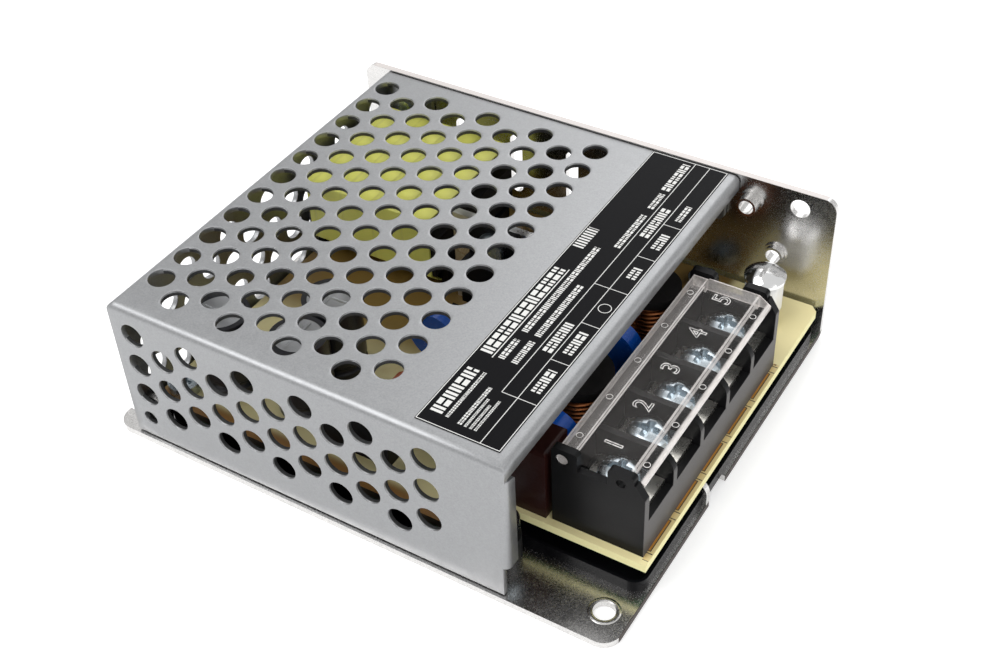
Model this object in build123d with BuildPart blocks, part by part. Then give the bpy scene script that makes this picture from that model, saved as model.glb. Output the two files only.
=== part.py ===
from build123d import *
import os
from math import sqrt

# An enclosed switch-mode power supply with an open terminal end.
# X runs from the rear ear to the terminal end, Y from the cover's side wall to the chassis wall, and Z up.
# The origin is at the bottom centre of the base plate. All sizes are in millimetres.

os.makedirs("parts", exist_ok=True)

# Chassis: the base plate and the far side wall, one folded sheet
length = 98.0
width = 82.0
wall_height = 30.3
chassis_gauge = 1.2
chassis_bend = 0.8
base_corner = 3.0
wall_corner = 2.5
foot_hole_radius = 1.8
foot_hole_inset = 4.3
foot_hole_side = 5.7
wall_hole_inset = 6.5
wall_hole_drop = 3.4
thread_radius = 1.35
collar_radius = 2.2
collar_tip_radius = 1.8
collar_foot = 0.5
mount_collar_length = 1.0
wall_collar_length = 2.2
tab_collar_length = 1.4
mount_thread_inset = 10.2
mount_thread_height = 15.7
wall_thread_inset = 15.6
wall_thread_drop = 4.9
slot_width = 2.6
slot_low = 11.0
slot_drop = 6.3
slot_pitch = 12.2
slot_count = 3
slot_inset = 34.2
board_lug_fold = -7.4
board_lug_length = 6.0
notch_width = 6.3
side_lug_width = 5.0
side_lug_height = 8.2
side_lug_window = 7.4
side_lug_inset = 8.7
side_lug_setback = 11.4

# Cover: the top, near side wall, rear wall and front lip, one folded perforated sheet
cover_drop = 0.3
cover_gauge = 1.0
cover_bend = 1.6
cover_gap = 0.25
rear_ear = 5.0
front_apron = 17.9
base_margin = 0.6
lip_height = 2.9
flange_width = 2.9
flange_low = 7.6
flange_slope = 1.1
flange_bend = 1.2
relief_gap = 0.3
vent_radius = 2.33
vent_sides = 12
vent_near_edge = 2.795
vent_far_edge = 1.945
top_rows = 11
top_vent_margin = 1.063
vent_label_gap = 4.0
side_rows = 3
side_vent_margin = 1.6
side_vent_apron = 8.0
side_vent_lift = 0.775
rear_vent_margin = 2.0
side_hole_radius = 1.4
side_hole_height = 5.7
tab_width = 10.0
tab_drop = 9.0
tab_corner = 2.0
rear_screw_inset = 11.0
front_screw_inset = 25.0
cover_screw_drop = 5.0
screw_tip = 0.8

# Label on the cover's top
label_width = 14.6
label_thickness = 0.12
label_inset = 2.1
label_near_inset = 2.5
label_far_inset = 0.25

# Circuit board, its tray and its fasteners
board_gap = 4.65
board_thickness = 1.6
board_front_inset = 0.6
board_rear_gap = 1.2
board_far_gap = 0.8
board_near_inset = 4.1
board_step_inset = 11.8
board_step_setback = 31.7
board_chamfer = 1.2
tray_gauge = 0.5
tray_wall = 2.2
tray_margin = 0.9
tray_front_inset = 0.7
tray_corner = 2.5
board_screw_radius = 1.45
board_screw_head = 2.8
board_screw_head_height = 1.9
board_screw_low = 0.2
spacer_radius = 3.0
fit_clearance = 0.1
over = 1.0  # how far a cut runs past the face that it opens

# Terminal block
pole_count = 5
pole_pitch = 9.5
partition = 1.2
end_wall = 1.35
block_front_inset = 1.7
block_depth = 15.8
block_inset = 1.3
sill_height = 6.9
rear_wall_height = 12.1
rear_wall_depth = 2.4
recess_height = 12.9
ear_height = 16.2
ear_width = 4.4
front_ear_inset = 1.9
ear_step = 0.3
ear_fillet = 0.7
front_edge_height = 12.3
partition_height = 12.9
partition_curve = 3.6
contact_gauge = 0.8
contact_setback = 1.4
contact_rear_gap = 1.0
contact_leg = 3.0
corner_tab_width = 1.5
corner_tab_depth = 1.7
corner_tab_height = 2.4
screw_set_forward = 8.7
screw_radius = 1.70
thread_clearance = 0.05
shank_clearance = 0.35
washer_side = 7.4
washer_gauge = 0.9
washer_corner = 0.6
screw_head_radius = 3.4
screw_head_height = 2.6
screw_head_chamfer = 0.9
screw_reach = 7.0
screw_end_gap = 0.6
drive_width = 0.8
drive_length = 4.4
drive_depth = 1.2
lid_height = 15.55
lid_gauge = 1.0
lid_gap = 0.15
lid_rear_inset = 0.7
lid_front_inset = 1.0
lid_bevel_run = 2.1
lid_bevel_drop = 1.5
lid_lip = 0.6
rail_width = 2.4
rail_drop = 1.6
pad_rise = 0.25
lid_end_drop = 2.4
pin_radius = 1.0
pin_clearance = 0.05
pin_back = 1.8
pin_drop = 1.4
pin_setback = 0.2
snap_hole_radius = 0.8

# Trimmer
trimmer_setback = 7.0
trimmer_near_room = 7.2
trimmer_far_room = 3.1
trimmer_side = 6.0
trimmer_corner = 1.6
trimmer_edge = 0.8
trimmer_lead_width = 1.2
trimmer_leads_at = [(2.0, -2.0), (2.0, 2.0), (-2.2, 0.0)]
trimmer_body_height = 6.6
trimmer_stand = 2.0
rotor_radius = 3.7
rotor_height = 2.0
rotor_rim = 0.6
rotor_crown = (0.6, 0.8)  # shares of its radius and height
rotor_cross = 4.44
rotor_gap = 0.3
rotor_shaft_radius = 1.2
rotor_shaft_length = 2.5

# Transformer
core_length = 28.0
core_width = 27.0
core_height = 7.5
core_leg = 9.0
core_back = 3.75
core_rise = 5.45
air_gap = 0.1
former_wall = 0.8
winding_side = 2.5
winding_bulge = 3.5
winding_inset = 0.5
winding_corner = 2.0
winding_gap = 0.02
tape_gauge = 0.3
tape_width = 26.6
pin_rail = 1.4
rail_inset = 2.6

# Parts on the board. A place is X and Y from the board's rear near corner, and a box is two such corners.
# Places stretch with the room on the board, and sizes with the tighter of its two sides.
layout_length = 73.3
layout_width = 75.9
layout_height = 21.55
board_screw_spots = [(3.3, 72.2), (3.3, 3.9), (67.3, 3.9), (69.3, 71.9)]
transformer_spot = (14.8, 58.3)
bulk_spots = [(9.3, 9.9), (24.3, 11.4), (23.3, 21.9)]
bulk_radius = 5.0
bulk_height = 15.3
output_spots = [(55.3, 48.4), (55.3, 59.4)]
output_radius = 5.0
output_height = 14.5
can_groove = 0.5
can_groove_height = 2.4
x_capacitor_box = [(59.4, 8.6), (72.4, 15.6)]
x_capacitor_height = 13.9
x_capacitor_edge = 0.6
snubber_box = [(37.8, 16.4), (45.8, 20.4)]
snubber_height = 6.5
snubber_edge = 1.2
varistor_spot = (67.6, 18.4)
varistor_radius = 5.0
y_capacitor_spots = [(66.3, 41.9), (38.8, 30.4)]
y_capacitor_radius = 5.0
thermistor_spot = (47.3, 12.9)
thermistor_radius = 4.0
disc_thickness = 3.2
disc_stand = 2.2
disc_sink = 0.4
disc_spread = 2.5
fuse_box = [(55.3, 8.4), (55.3, 17.9)]
fuse_radius = 2.5
fuse_height = 3.0
input_choke_spot = (66.3, 29.9)
input_choke_radius = 6.0
output_choke_spot = (67.0, 54.9)
output_choke_radius = 5.2
choke_height = 11.5
choke_flange = 1.6
choke_neck = 0.55
choke_winding_inset = 0.3
bridge_box = [(31.3, 3.9), (46.3, 7.7)]
bridge_height = 12.5
bridge_lead_pitch = 3.8
transistor_spot = (40.3, 49.3)
heatsink_length = 18.0
heatsink_gauge = 1.5
heatsink_height = 19.0
device_thickness = 4.5
device_width = 10.0
device_height = 9.0
device_stand = 3.6
device_tab = 1.3
device_tab_height = 6.4
device_hole_rise = 11.9
device_lead_pitch = 2.54
device_screw_tip = 1.5
diode_setback = 12.0
insulator_width = 14.0
insulator_low = 1.5
insulator_rise = 4.5
sheet_gauge = 0.3
optocoupler_box = [(40.3, 50.9), (46.8, 55.5)]
optocoupler_height = 4.0
control_chip_box = [(34.3, 35.4), (43.8, 41.8)]
control_chip_height = 3.8
chip_stand = 0.5
resistor_spots = [(44.8, 59.9), (44.8, 63.4), (44.8, 66.9), (36.8, 70.4)]
resistor_radius = 1.2
resistor_length = 6.4
diode_spots = [(35.3, 50.9), (35.3, 54.9), (35.3, 58.9)]
diode_radius = 1.3
diode_length = 5.0
axial_rise = 1.8
lead_side = 0.7
lead_run = 1.5

half_length = length / 2
half_width = width / 2
base_top = chassis_gauge
wall_inner = half_width - chassis_gauge
cover_rear = -half_length + rear_ear
cover_front = half_length - front_apron
cover_near = -half_width + base_margin
cover_far = wall_inner - cover_gap
cover_bottom = base_top + cover_gap
cover_top = wall_height - cover_drop
cover_under = cover_top - cover_gauge
lip_low = cover_top - lip_height
board_under = base_top + board_gap
board_top = board_under + board_thickness
board_front = half_length - board_front_inset
board_rear = cover_rear + cover_gauge + board_rear_gap
board_far = wall_inner - board_far_gap
board_near = -half_width + board_near_inset
board_step_near = -half_width + board_step_inset
board_step_x = half_length - board_step_setback
block_front = half_length - block_front_inset
block_rear = block_front - block_depth
label_rear = cover_front - label_inset - label_width
vent_pitch = (cover_far - cover_near - vent_near_edge - vent_far_edge) / (top_rows + 0.5)
vent_column = vent_pitch * sqrt(3) / 2
top_columns = int((label_rear - vent_label_gap - cover_rear - top_vent_margin) / vent_column)
top_vent_centre = cover_rear + top_vent_margin + top_columns * vent_column / 2
side_vent_front = cover_front - cover_gauge - side_vent_apron
side_columns = int((side_vent_front - cover_rear - side_vent_margin) / vent_column)
side_vent_centre = cover_rear + side_vent_margin + side_columns * vent_column / 2
side_vent_height = (cover_bottom + cover_top) / 2 + side_vent_lift
rear_columns = int((cover_far - cover_near - 2 * rear_vent_margin) / vent_column)
cover_screw_height = cover_top - cover_screw_drop
stretch_x = (block_rear - board_rear) / layout_length
stretch_y = (board_far - board_near) / layout_width
stretch = min(stretch_x, stretch_y)
rise = (cover_under - board_top) / layout_height


def spot(place):
    """A place on the board, from its rear near corner."""
    return board_rear + place[0] * stretch_x, board_near + place[1] * stretch_y


def spots(places):
    """Several places on the board."""
    return [spot(place) for place in places]


def slab(x, y, z, mode=Mode.ADD):
    """A block between two values along each axis."""
    with Locations(((x[0] + x[1]) / 2, (y[0] + y[1]) / 2, (z[0] + z[1]) / 2)):
        Box(x[1] - x[0], y[1] - y[0], z[1] - z[0], mode=mode)


def box_on_board(corners, z):
    """A block between two places on the board and two heights above its top."""
    low, high = spots(corners)
    slab((low[0], high[0]), (low[1], high[1]), (board_top + z[0], board_top + z[1]))


def cross_plane(y):
    """A plane that faces the near side at this Y, drawn in X and Z."""
    return Plane.XZ.offset(-y)


def rod(x, y, z, radius, mode=Mode.ADD):
    """An upright round rod or hole between two heights."""
    with Locations((x, y, (z[0] + z[1]) / 2)):
        Cylinder(radius, z[1] - z[0], mode=mode)


def side_rod(x, y, z, radius, mode=Mode.ADD):
    """A round rod or hole along Y between two values of Y."""
    with Locations((x, (y[0] + y[1]) / 2, z)):
        Cylinder(radius, y[1] - y[0], rotation=(90, 0, 0), mode=mode)


# Chassis
screw_spots = [
    (-half_length + rear_screw_inset, cover_screw_height),
    (half_length - front_screw_inset, cover_screw_height),
]
mount_threads = [
    (-half_length + mount_thread_inset, mount_thread_height),
    (half_length - mount_thread_inset, mount_thread_height),
]
wall_threads = mount_threads + [(half_length - wall_thread_inset, wall_height - wall_thread_drop)]
collar_lengths = [mount_collar_length, mount_collar_length, wall_collar_length]
wall_hole = (half_length - wall_hole_inset, wall_height - wall_hole_drop)
foot_holes = [
    (half_length - foot_hole_inset, -half_width + foot_hole_side),
    (-half_length + rear_ear / 2, -half_width + foot_hole_side),
]
board_screws_at = spots(board_screw_spots)
lug_face = cover_near + cover_gauge + cover_gap
side_lugs_at = [-half_length + side_lug_inset, cover_front - side_lug_setback]
slot_high = wall_height - slot_drop
diode_x = screw_spots[1][0] - diode_setback
device_hole_height = board_top + (device_stand + device_hole_rise) * rise

with BuildPart() as chassis:
    with BuildSketch(Plane.YZ.offset(-half_length)) as section:
        with BuildLine():
            Polyline(
                (-half_width, 0),
                (half_width, 0),
                (half_width, wall_height),
                (wall_inner, wall_height),
                (wall_inner, base_top),
                (-half_width, base_top),
                close=True,
            )
        make_face()
        far_corners = section.vertices().filter_by(lambda v: v.X > 0 and v.Y < wall_height / 2)
        outer, inner = far_corners.sort_by(Axis.Y)
        fillet(outer, chassis_bend + chassis_gauge)
        fillet(inner, chassis_bend)
    extrude(amount=length)
    near_corners = chassis.edges().filter_by(Axis.Z).group_by(Axis.Y)[0]
    fillet(near_corners, base_corner)
    top_corners = chassis.edges().filter_by(Axis.Y).group_by(Axis.Z)[-1]
    fillet(top_corners, wall_corner)
    # Board lug, folded up from the notch in the front edge
    slab(
        (half_length - board_lug_length, half_length + over),
        (board_lug_fold, board_lug_fold + notch_width),
        (-over, base_top + over),
        Mode.SUBTRACT,
    )
    with BuildSketch(cross_plane(board_lug_fold)) as board_lug:
        with Locations((half_length - board_lug_length / 2, (base_top + board_under) / 2)):
            Rectangle(board_lug_length, board_under - base_top)
        fillet(board_lug.vertices().group_by(Axis.Y)[-1].sort_by(Axis.X)[-1], wall_corner)
    extrude(amount=chassis_gauge)
    # Side lugs inside the cover's near wall, each folded up from its own window
    for lug_x in side_lugs_at:
        window = (lug_x - side_lug_width / 2, lug_x + side_lug_width / 2)
        slab(
            window,
            (lug_face + chassis_gauge, lug_face + chassis_gauge + side_lug_window),
            (-over, base_top + over),
            Mode.SUBTRACT,
        )
        with BuildSketch(cross_plane(lug_face + chassis_gauge)) as side_lug:
            with Locations((lug_x, base_top + side_lug_height / 2)):
                Rectangle(side_lug_width, side_lug_height)
            fillet(side_lug.vertices().group_by(Axis.Y)[-1], wall_corner)
        extrude(amount=chassis_gauge)
    side_rod(
        side_lugs_at[0],
        (lug_face - over, lug_face + chassis_gauge + over),
        side_hole_height,
        thread_radius,
        Mode.SUBTRACT,
    )
    # Foot hole at the front, and the slot that slides under a screw at the rear
    rod(*foot_holes[0], (-over, base_top + over), foot_hole_radius, Mode.SUBTRACT)
    rod(*foot_holes[1], (-over, base_top + over), foot_hole_radius, Mode.SUBTRACT)
    slab(
        (-half_length - over, foot_holes[1][0]),
        (foot_holes[1][1] - foot_hole_radius, foot_holes[1][1] + foot_hole_radius),
        (-over, base_top + over),
        Mode.SUBTRACT,
    )
    # Wall: extruded threads, plain hole, vent slots, cover screws and the diode's screw
    for (thread_x, thread_z), reach in zip(wall_threads, collar_lengths):
        side_rod(thread_x, (wall_inner - collar_foot, wall_inner), thread_z, collar_radius)
        side_rod(thread_x, (wall_inner - reach, wall_inner), thread_z, collar_tip_radius)
        side_rod(
            thread_x,
            (wall_inner - reach - over, half_width + over),
            thread_z,
            thread_radius,
            Mode.SUBTRACT,
        )
    side_rod(
        wall_hole[0], (wall_inner - over, half_width + over), wall_hole[1], foot_hole_radius, Mode.SUBTRACT
    )
    with BuildSketch(cross_plane(half_width)) as wall_slots:
        with Locations((-half_length + slot_inset, (slot_low + slot_high) / 2)):
            with GridLocations(slot_pitch, 1, slot_count, 1):
                SlotOverall(slot_high - slot_low, slot_width, rotation=90)
    extrude(amount=chassis_gauge, mode=Mode.SUBTRACT)
    side_rod(
        diode_x,
        (wall_inner - over, half_width + over),
        device_hole_height,
        board_screw_radius,
        Mode.SUBTRACT,
    )
    for spot_x, spot_z in screw_spots:
        side_rod(
            spot_x,
            (wall_inner - over, half_width + over),
            spot_z,
            board_screw_radius + fit_clearance,
            Mode.SUBTRACT,
        )
        with Locations(Location((spot_x, half_width - chassis_gauge / 2, spot_z), (-90, 0, 0))):
            Cone(
                board_screw_radius + fit_clearance,
                board_screw_radius + fit_clearance + chassis_gauge,
                chassis_gauge,
                mode=Mode.SUBTRACT,
            )
    for hole_x, hole_y in board_screws_at:
        rod(hole_x, hole_y, (-over, base_top + over), board_screw_radius, Mode.SUBTRACT)


def folded_block(inset, beyond):
    """The cover's outer form as a solid, drawn inside its folds by the inset."""
    radius = cover_bend - inset
    top = cover_top - inset
    tall = top - cover_bottom + inset
    front, rear = cover_front - inset, cover_rear + inset
    near, far = cover_near + inset, cover_far + beyond
    with BuildPart() as block:
        with BuildSketch(cross_plane(far)) as ends:
            with Locations(((rear + front) / 2, top - tall / 2)):
                Rectangle(front - rear, tall)
            fillet(ends.vertices().group_by(Axis.Y)[-1], radius)
        extrude(amount=far - near)
        with BuildSketch(Plane.YZ.offset(rear)) as sides:
            with Locations(((near + far) / 2, top - tall / 2)):
                Rectangle(far - near, tall)
            fillet(sides.vertices().group_by(Axis.Y)[-1].sort_by(Axis.X)[0], radius)
        extrude(amount=front - rear, mode=Mode.INTERSECT)
    return block.part


def vent_sketch(plane, columns, rows):
    """Staggered columns of vent holes, centred on the plane's origin."""
    with BuildSketch(plane) as holes:
        beside = 0 if columns % 2 else vent_column / 2
        for count, shift in (((columns + 1) // 2, 1), (columns // 2, -1)):
            with Locations((-shift * beside, shift * vent_pitch / 4)):
                with GridLocations(2 * vent_column, vent_pitch, count, rows):
                    RegularPolygon(vent_radius, vent_sides)
    return holes.sketch


# Cover
cover_outer = folded_block(0, 0)
cover_cavity = folded_block(cover_gauge, cover_gauge)
top_vents = vent_sketch(
    Plane((top_vent_centre, 0, cover_top), z_dir=(0, 0, 1)), top_columns, top_rows
)
side_vents = vent_sketch(
    Plane((side_vent_centre, cover_near, side_vent_height), x_dir=(1, 0, 0), z_dir=(0, -1, 0)),
    side_columns,
    side_rows,
)
rear_vents = vent_sketch(
    Plane((cover_rear, 0, side_vent_height), x_dir=(0, 1, 0), z_dir=(1, 0, 0)),
    rear_columns,
    side_rows,
)
with BuildPart() as cover:
    add(cover_outer)
    add(cover_cavity, mode=Mode.SUBTRACT)
    # Front opening below the lip, leaving the return flange of the near wall
    with BuildSketch(Plane.YZ.offset(cover_front - cover_gauge)) as opening:
        with BuildLine():
            Polyline(
                (cover_near - over, cover_bottom - over),
                (cover_near - over, flange_low),
                (cover_near + flange_width, flange_low),
                (cover_near + flange_width, lip_low - relief_gap - flange_slope),
                (cover_near - over, lip_low - relief_gap),
                (cover_near - over, lip_low),
                (cover_far + over, lip_low),
                (cover_far + over, cover_bottom - over),
                close=True,
            )
        make_face()
    extrude(amount=cover_gauge + over, mode=Mode.SUBTRACT)
    flange_edges = (
        cover.edges()
        .filter_by(Axis.Z)
        .filter_by(lambda e: abs(e.center().X - cover_front) < 0.01 and e.length > 1)
        .sort_by(Axis.Y)
    )
    fillet(flange_edges[0], flange_bend)
    # Tabs down inside the chassis wall, each with an extruded thread for a cover screw
    for spot_x, spot_z in screw_spots:
        with BuildSketch(cross_plane(cover_far)) as tab:
            with Locations((spot_x, cover_under + cover_gauge / 2 - tab_drop / 2)):
                Rectangle(tab_width, tab_drop)
            fillet(tab.vertices().group_by(Axis.Y)[0], tab_corner)
        extrude(amount=cover_gauge)
        side_rod(
            spot_x,
            (cover_far - cover_gauge - tab_collar_length, cover_far - cover_gauge),
            spot_z,
            collar_radius,
        )
        side_rod(
            spot_x,
            (cover_far - cover_gauge - tab_collar_length - over, cover_far + over),
            spot_z,
            board_screw_radius,
            Mode.SUBTRACT,
        )
    side_rod(
        side_lugs_at[0],
        (cover_near - over, cover_near + cover_gauge + 0.1),
        side_hole_height,
        side_hole_radius,
        Mode.SUBTRACT,
    )
    extrude(top_vents, amount=-cover_gauge, clean=False, mode=Mode.SUBTRACT)
    extrude(side_vents, amount=-cover_gauge, clean=False, mode=Mode.SUBTRACT)
    extrude(rear_vents, amount=cover_gauge, clean=False, mode=Mode.SUBTRACT)

with BuildPart() as cover_screws:
    for spot_x, spot_z in screw_spots:
        with Locations(Location((spot_x, half_width - chassis_gauge / 2, spot_z), (-90, 0, 0))):
            Cone(board_screw_radius, board_screw_radius + chassis_gauge, chassis_gauge)
        side_rod(
            spot_x,
            (cover_far - cover_gauge - tab_collar_length - screw_tip, wall_inner),
            spot_z,
            board_screw_radius,
        )
        with Locations((spot_x, half_width, spot_z)):
            Box(drive_length / 2, 2 * drive_width, drive_width, mode=Mode.SUBTRACT)
            Box(drive_width, 2 * drive_width, drive_length / 2, mode=Mode.SUBTRACT)

with BuildPart() as rating_label:
    slab(
        (label_rear, label_rear + label_width),
        (cover_near + label_near_inset, cover_far - label_far_inset),
        (cover_top, cover_top + label_thickness),
    )


def board_outline(margin, front):
    """The board's outline grown by a margin, with the step that clears the foot hole."""
    return [
        (board_rear - margin, board_near - margin),
        (board_step_x + margin, board_near - margin),
        (board_step_x + margin, board_step_near - margin),
        (front, board_step_near - margin),
        (front, board_far),
        (board_rear - margin, board_far),
    ]


# Insulating tray
tray_front = half_length - tray_front_inset
with BuildPart() as insulating_tray:
    with BuildSketch(Plane.XY.offset(base_top)) as tray_floor:
        with BuildLine():
            Polyline(*board_outline(tray_margin, tray_front), close=True)
        make_face()
        corners = tray_floor.vertices()
        fillet(corners, tray_corner)
    extrude(amount=tray_wall)
    with BuildSketch(Plane.XY.offset(base_top + tray_gauge)) as tray_inside:
        add(tray_floor.sketch_local)
        offset(amount=-tray_gauge, mode=Mode.REPLACE)
    extrude(amount=tray_wall, mode=Mode.SUBTRACT)
    for hole_x, hole_y in board_screws_at:
        rod(
            hole_x,
            hole_y,
            (base_top - over, base_top + tray_wall + over),
            spacer_radius + fit_clearance,
            Mode.SUBTRACT,
        )
    slab(
        (half_length - board_lug_length - fit_clearance, half_length),
        (board_lug_fold - chassis_gauge - fit_clearance, board_lug_fold + fit_clearance),
        (base_top - over, base_top + tray_wall + over),
        Mode.SUBTRACT,
    )

# Circuit board
with BuildPart() as circuit_board:
    with BuildSketch(Plane.XY.offset(board_under)) as board_shape:
        with BuildLine():
            Polyline(*board_outline(0, board_front), close=True)
        make_face()
        chamfer(board_shape.vertices().group_by(Axis.Y)[-1].sort_by(Axis.X)[-1], board_chamfer)
    extrude(amount=board_thickness)
    for hole_x, hole_y in board_screws_at:
        rod(
            hole_x,
            hole_y,
            (board_under - over, board_top + over),
            board_screw_radius + fit_clearance,
            Mode.SUBTRACT,
        )

with BuildPart() as board_spacers:
    for hole_x, hole_y in board_screws_at:
        rod(hole_x, hole_y, (base_top, board_under), spacer_radius)
        rod(
            hole_x,
            hole_y,
            (base_top - over, board_under + over),
            board_screw_radius + fit_clearance,
            Mode.SUBTRACT,
        )

with BuildPart() as board_screws:
    for hole_x, hole_y in board_screws_at:
        rod(hole_x, hole_y, (board_screw_low, board_top), board_screw_radius)
        rod(hole_x, hole_y, (board_top, board_top + board_screw_head_height), board_screw_head)
        with Locations((hole_x, hole_y, board_top + board_screw_head_height)):
            Box(drive_length * 0.75, drive_width, 2 * drive_width, mode=Mode.SUBTRACT)
            Box(drive_width, drive_length * 0.75, 2 * drive_width, mode=Mode.SUBTRACT)

# Terminal block
block_length = pole_count * pole_pitch - partition + 2 * end_wall
block_near = board_step_near + block_inset
block_far = block_near + block_length
block_centre = (block_near + block_far) / 2
sill = board_top + sill_height
pole_centres = [
    block_centre + (index - (pole_count - 1) / 2) * pole_pitch for index in range(pole_count)
]
screw_x = block_rear + screw_set_forward
contact_top = sill + contact_gauge
contact_front = block_front - contact_setback
contact_rear = block_rear + rear_wall_depth + contact_rear_gap
washer_top = contact_top + washer_gauge
head_top = washer_top + screw_head_height
pole_room = pole_pitch - partition
ear_top = board_top + ear_height
recess_z = board_top + recess_height
front_edge_z = board_top + front_edge_height
lid_z = board_top + lid_height
pin_x = block_rear + pin_back
pin_z = lid_z - pin_drop
pin_reach = end_wall - pin_setback
front_ear = block_front - front_ear_inset

with BuildPart() as terminal_housing:
    with BuildSketch(cross_plane(block_near)) as body_section:
        with BuildLine():
            Polyline(
                (block_rear, board_top),
                (block_front, board_top),
                (block_front, sill),
                (block_rear + rear_wall_depth, sill),
                (block_rear + rear_wall_depth, board_top + rear_wall_height),
                (block_rear, board_top + rear_wall_height),
                close=True,
            )
        make_face()
    extrude(amount=-block_length)
    # End walls, each with two ears and a recess between them
    with BuildSketch(cross_plane(block_near)) as end_section:
        with BuildLine():
            Polyline(
                (block_rear, board_top),
                (block_rear, ear_top),
                (block_rear + ear_width, ear_top),
                (block_rear + ear_width, recess_z),
                (front_ear - ear_width, recess_z),
                (front_ear - ear_width, ear_top),
                (front_ear, ear_top),
                (front_ear, board_top + partition_height + front_ear_inset),
                (front_ear + ear_step, board_top + partition_height + front_ear_inset),
                (block_front, front_edge_z),
                (block_front, board_top),
                close=True,
            )
        make_face()
        ear_tips = end_section.vertices().filter_by(lambda v: v.Y > ear_top - 0.01)
        fillet(ear_tips, ear_fillet)
    extrude(amount=-end_wall)
    extrude(
        end_section.sketch.moved(Location((0, block_length - end_wall, 0))),
        amount=-end_wall,
    )
    # Partitions between the poles, each with a rounded front shoulder
    with BuildSketch(cross_plane(0)) as wall_section:
        with BuildLine():
            Polyline(
                (block_rear + rear_wall_depth, sill),
                (block_front, sill),
                (block_front, board_top + partition_height),
                (block_rear + rear_wall_depth, board_top + partition_height),
                close=True,
            )
        make_face()
        shoulder = wall_section.vertices().group_by(Axis.Y)[-1].sort_by(Axis.X)[-1]
        fillet(shoulder, partition_curve)
    for index in range(pole_count - 1):
        wall_y = pole_centres[index] + pole_pitch / 2 - partition / 2
        extrude(wall_section.sketch.moved(Location((0, wall_y, 0))), amount=-partition)
    # Screw wells and the slots that the contacts' legs pass down
    for pole_y in pole_centres:
        rod(
            screw_x,
            pole_y,
            (sill - screw_reach, sill + over),
            screw_radius + shank_clearance,
            Mode.SUBTRACT,
        )
        slab(
            (contact_rear - fit_clearance, contact_rear + contact_gauge + fit_clearance),
            (pole_y - contact_leg / 2 - fit_clearance, pole_y + contact_leg / 2 + fit_clearance),
            (board_top - over, sill + over),
            Mode.SUBTRACT,
        )
    # Holes for the lid's pins in the rear ears, and snap holes in the front ears
    for hole_x, radius in (
        (pin_x, pin_radius + pin_clearance),
        (front_ear - ear_width / 2, snap_hole_radius),
    ):
        side_rod(hole_x, (block_near - over, block_near + end_wall + 0.1), pin_z, radius, Mode.SUBTRACT)
        side_rod(hole_x, (block_far - end_wall - 0.1, block_far + over), pin_z, radius, Mode.SUBTRACT)

with BuildPart() as terminal_contacts:
    for pole_y in pole_centres:
        near_edge = pole_y - pole_room / 2 + fit_clearance
        far_edge = pole_y + pole_room / 2 - fit_clearance
        slab((contact_rear, contact_front), (near_edge, far_edge), (sill, contact_top))
        slab(
            (contact_front - corner_tab_depth, contact_front),
            (near_edge, near_edge + corner_tab_width),
            (contact_top, contact_top + corner_tab_height),
        )
        slab(
            (contact_rear, contact_rear + contact_gauge),
            (pole_y - contact_leg / 2, pole_y + contact_leg / 2),
            (board_top, sill),
        )
        rod(
            screw_x,
            pole_y,
            (sill - over, contact_top + over),
            screw_radius + thread_clearance,
            Mode.SUBTRACT,
        )

# Terminal lid: a clear cap with a front bevel, two rails, end walls and a pin at each rear corner
lid_near = block_near + end_wall + lid_gap
lid_far = block_far - end_wall - lid_gap
lid_rear = block_rear + lid_rear_inset
lid_front = block_front - lid_front_inset
bevel_x = lid_front - lid_bevel_run
bevel_z = lid_z - lid_bevel_drop
with BuildPart() as terminal_lid:
    with BuildSketch(cross_plane(lid_near)) as lid_outline:
        with BuildLine():
            Polyline(
                (lid_rear, lid_z - rail_drop),
                (lid_rear, lid_z - pad_rise),
                (lid_rear + rail_width + pad_rise, lid_z - pad_rise),
                (lid_rear + rail_width + 2 * pad_rise, lid_z),
                (bevel_x, lid_z),
                (lid_front, bevel_z),
                (lid_front, bevel_z - lid_lip),
                (lid_front - lid_gauge, bevel_z - lid_lip),
                (bevel_x - lid_gauge / 2, lid_z - lid_gauge),
                (lid_rear + rail_width, lid_z - lid_gauge),
                (lid_rear + rail_width, lid_z - rail_drop),
                close=True,
            )
        make_face()
    extrude(amount=-(lid_far - lid_near))
    with BuildSketch(cross_plane(lid_near)) as lid_end:
        with BuildLine():
            Polyline(
                (lid_rear, lid_z - lid_end_drop),
                (lid_rear, lid_z - pad_rise),
                (lid_rear + rail_width + pad_rise, lid_z - pad_rise),
                (lid_rear + rail_width + 2 * pad_rise, lid_z),
                (bevel_x, lid_z),
                (lid_front, bevel_z),
                (lid_front, bevel_z - lid_lip),
                (front_ear - ear_width / 2, lid_z - lid_end_drop),
                close=True,
            )
        make_face()
    extrude(amount=-lid_gauge)
    extrude(
        lid_end.sketch.moved(Location((0, lid_far - lid_near - lid_gauge, 0))),
        amount=-lid_gauge,
    )
    side_rod(pin_x, (lid_near - lid_gap - pin_reach, lid_near), pin_z, pin_radius)
    side_rod(pin_x, (lid_far, lid_far + lid_gap + pin_reach), pin_z, pin_radius)

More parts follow.
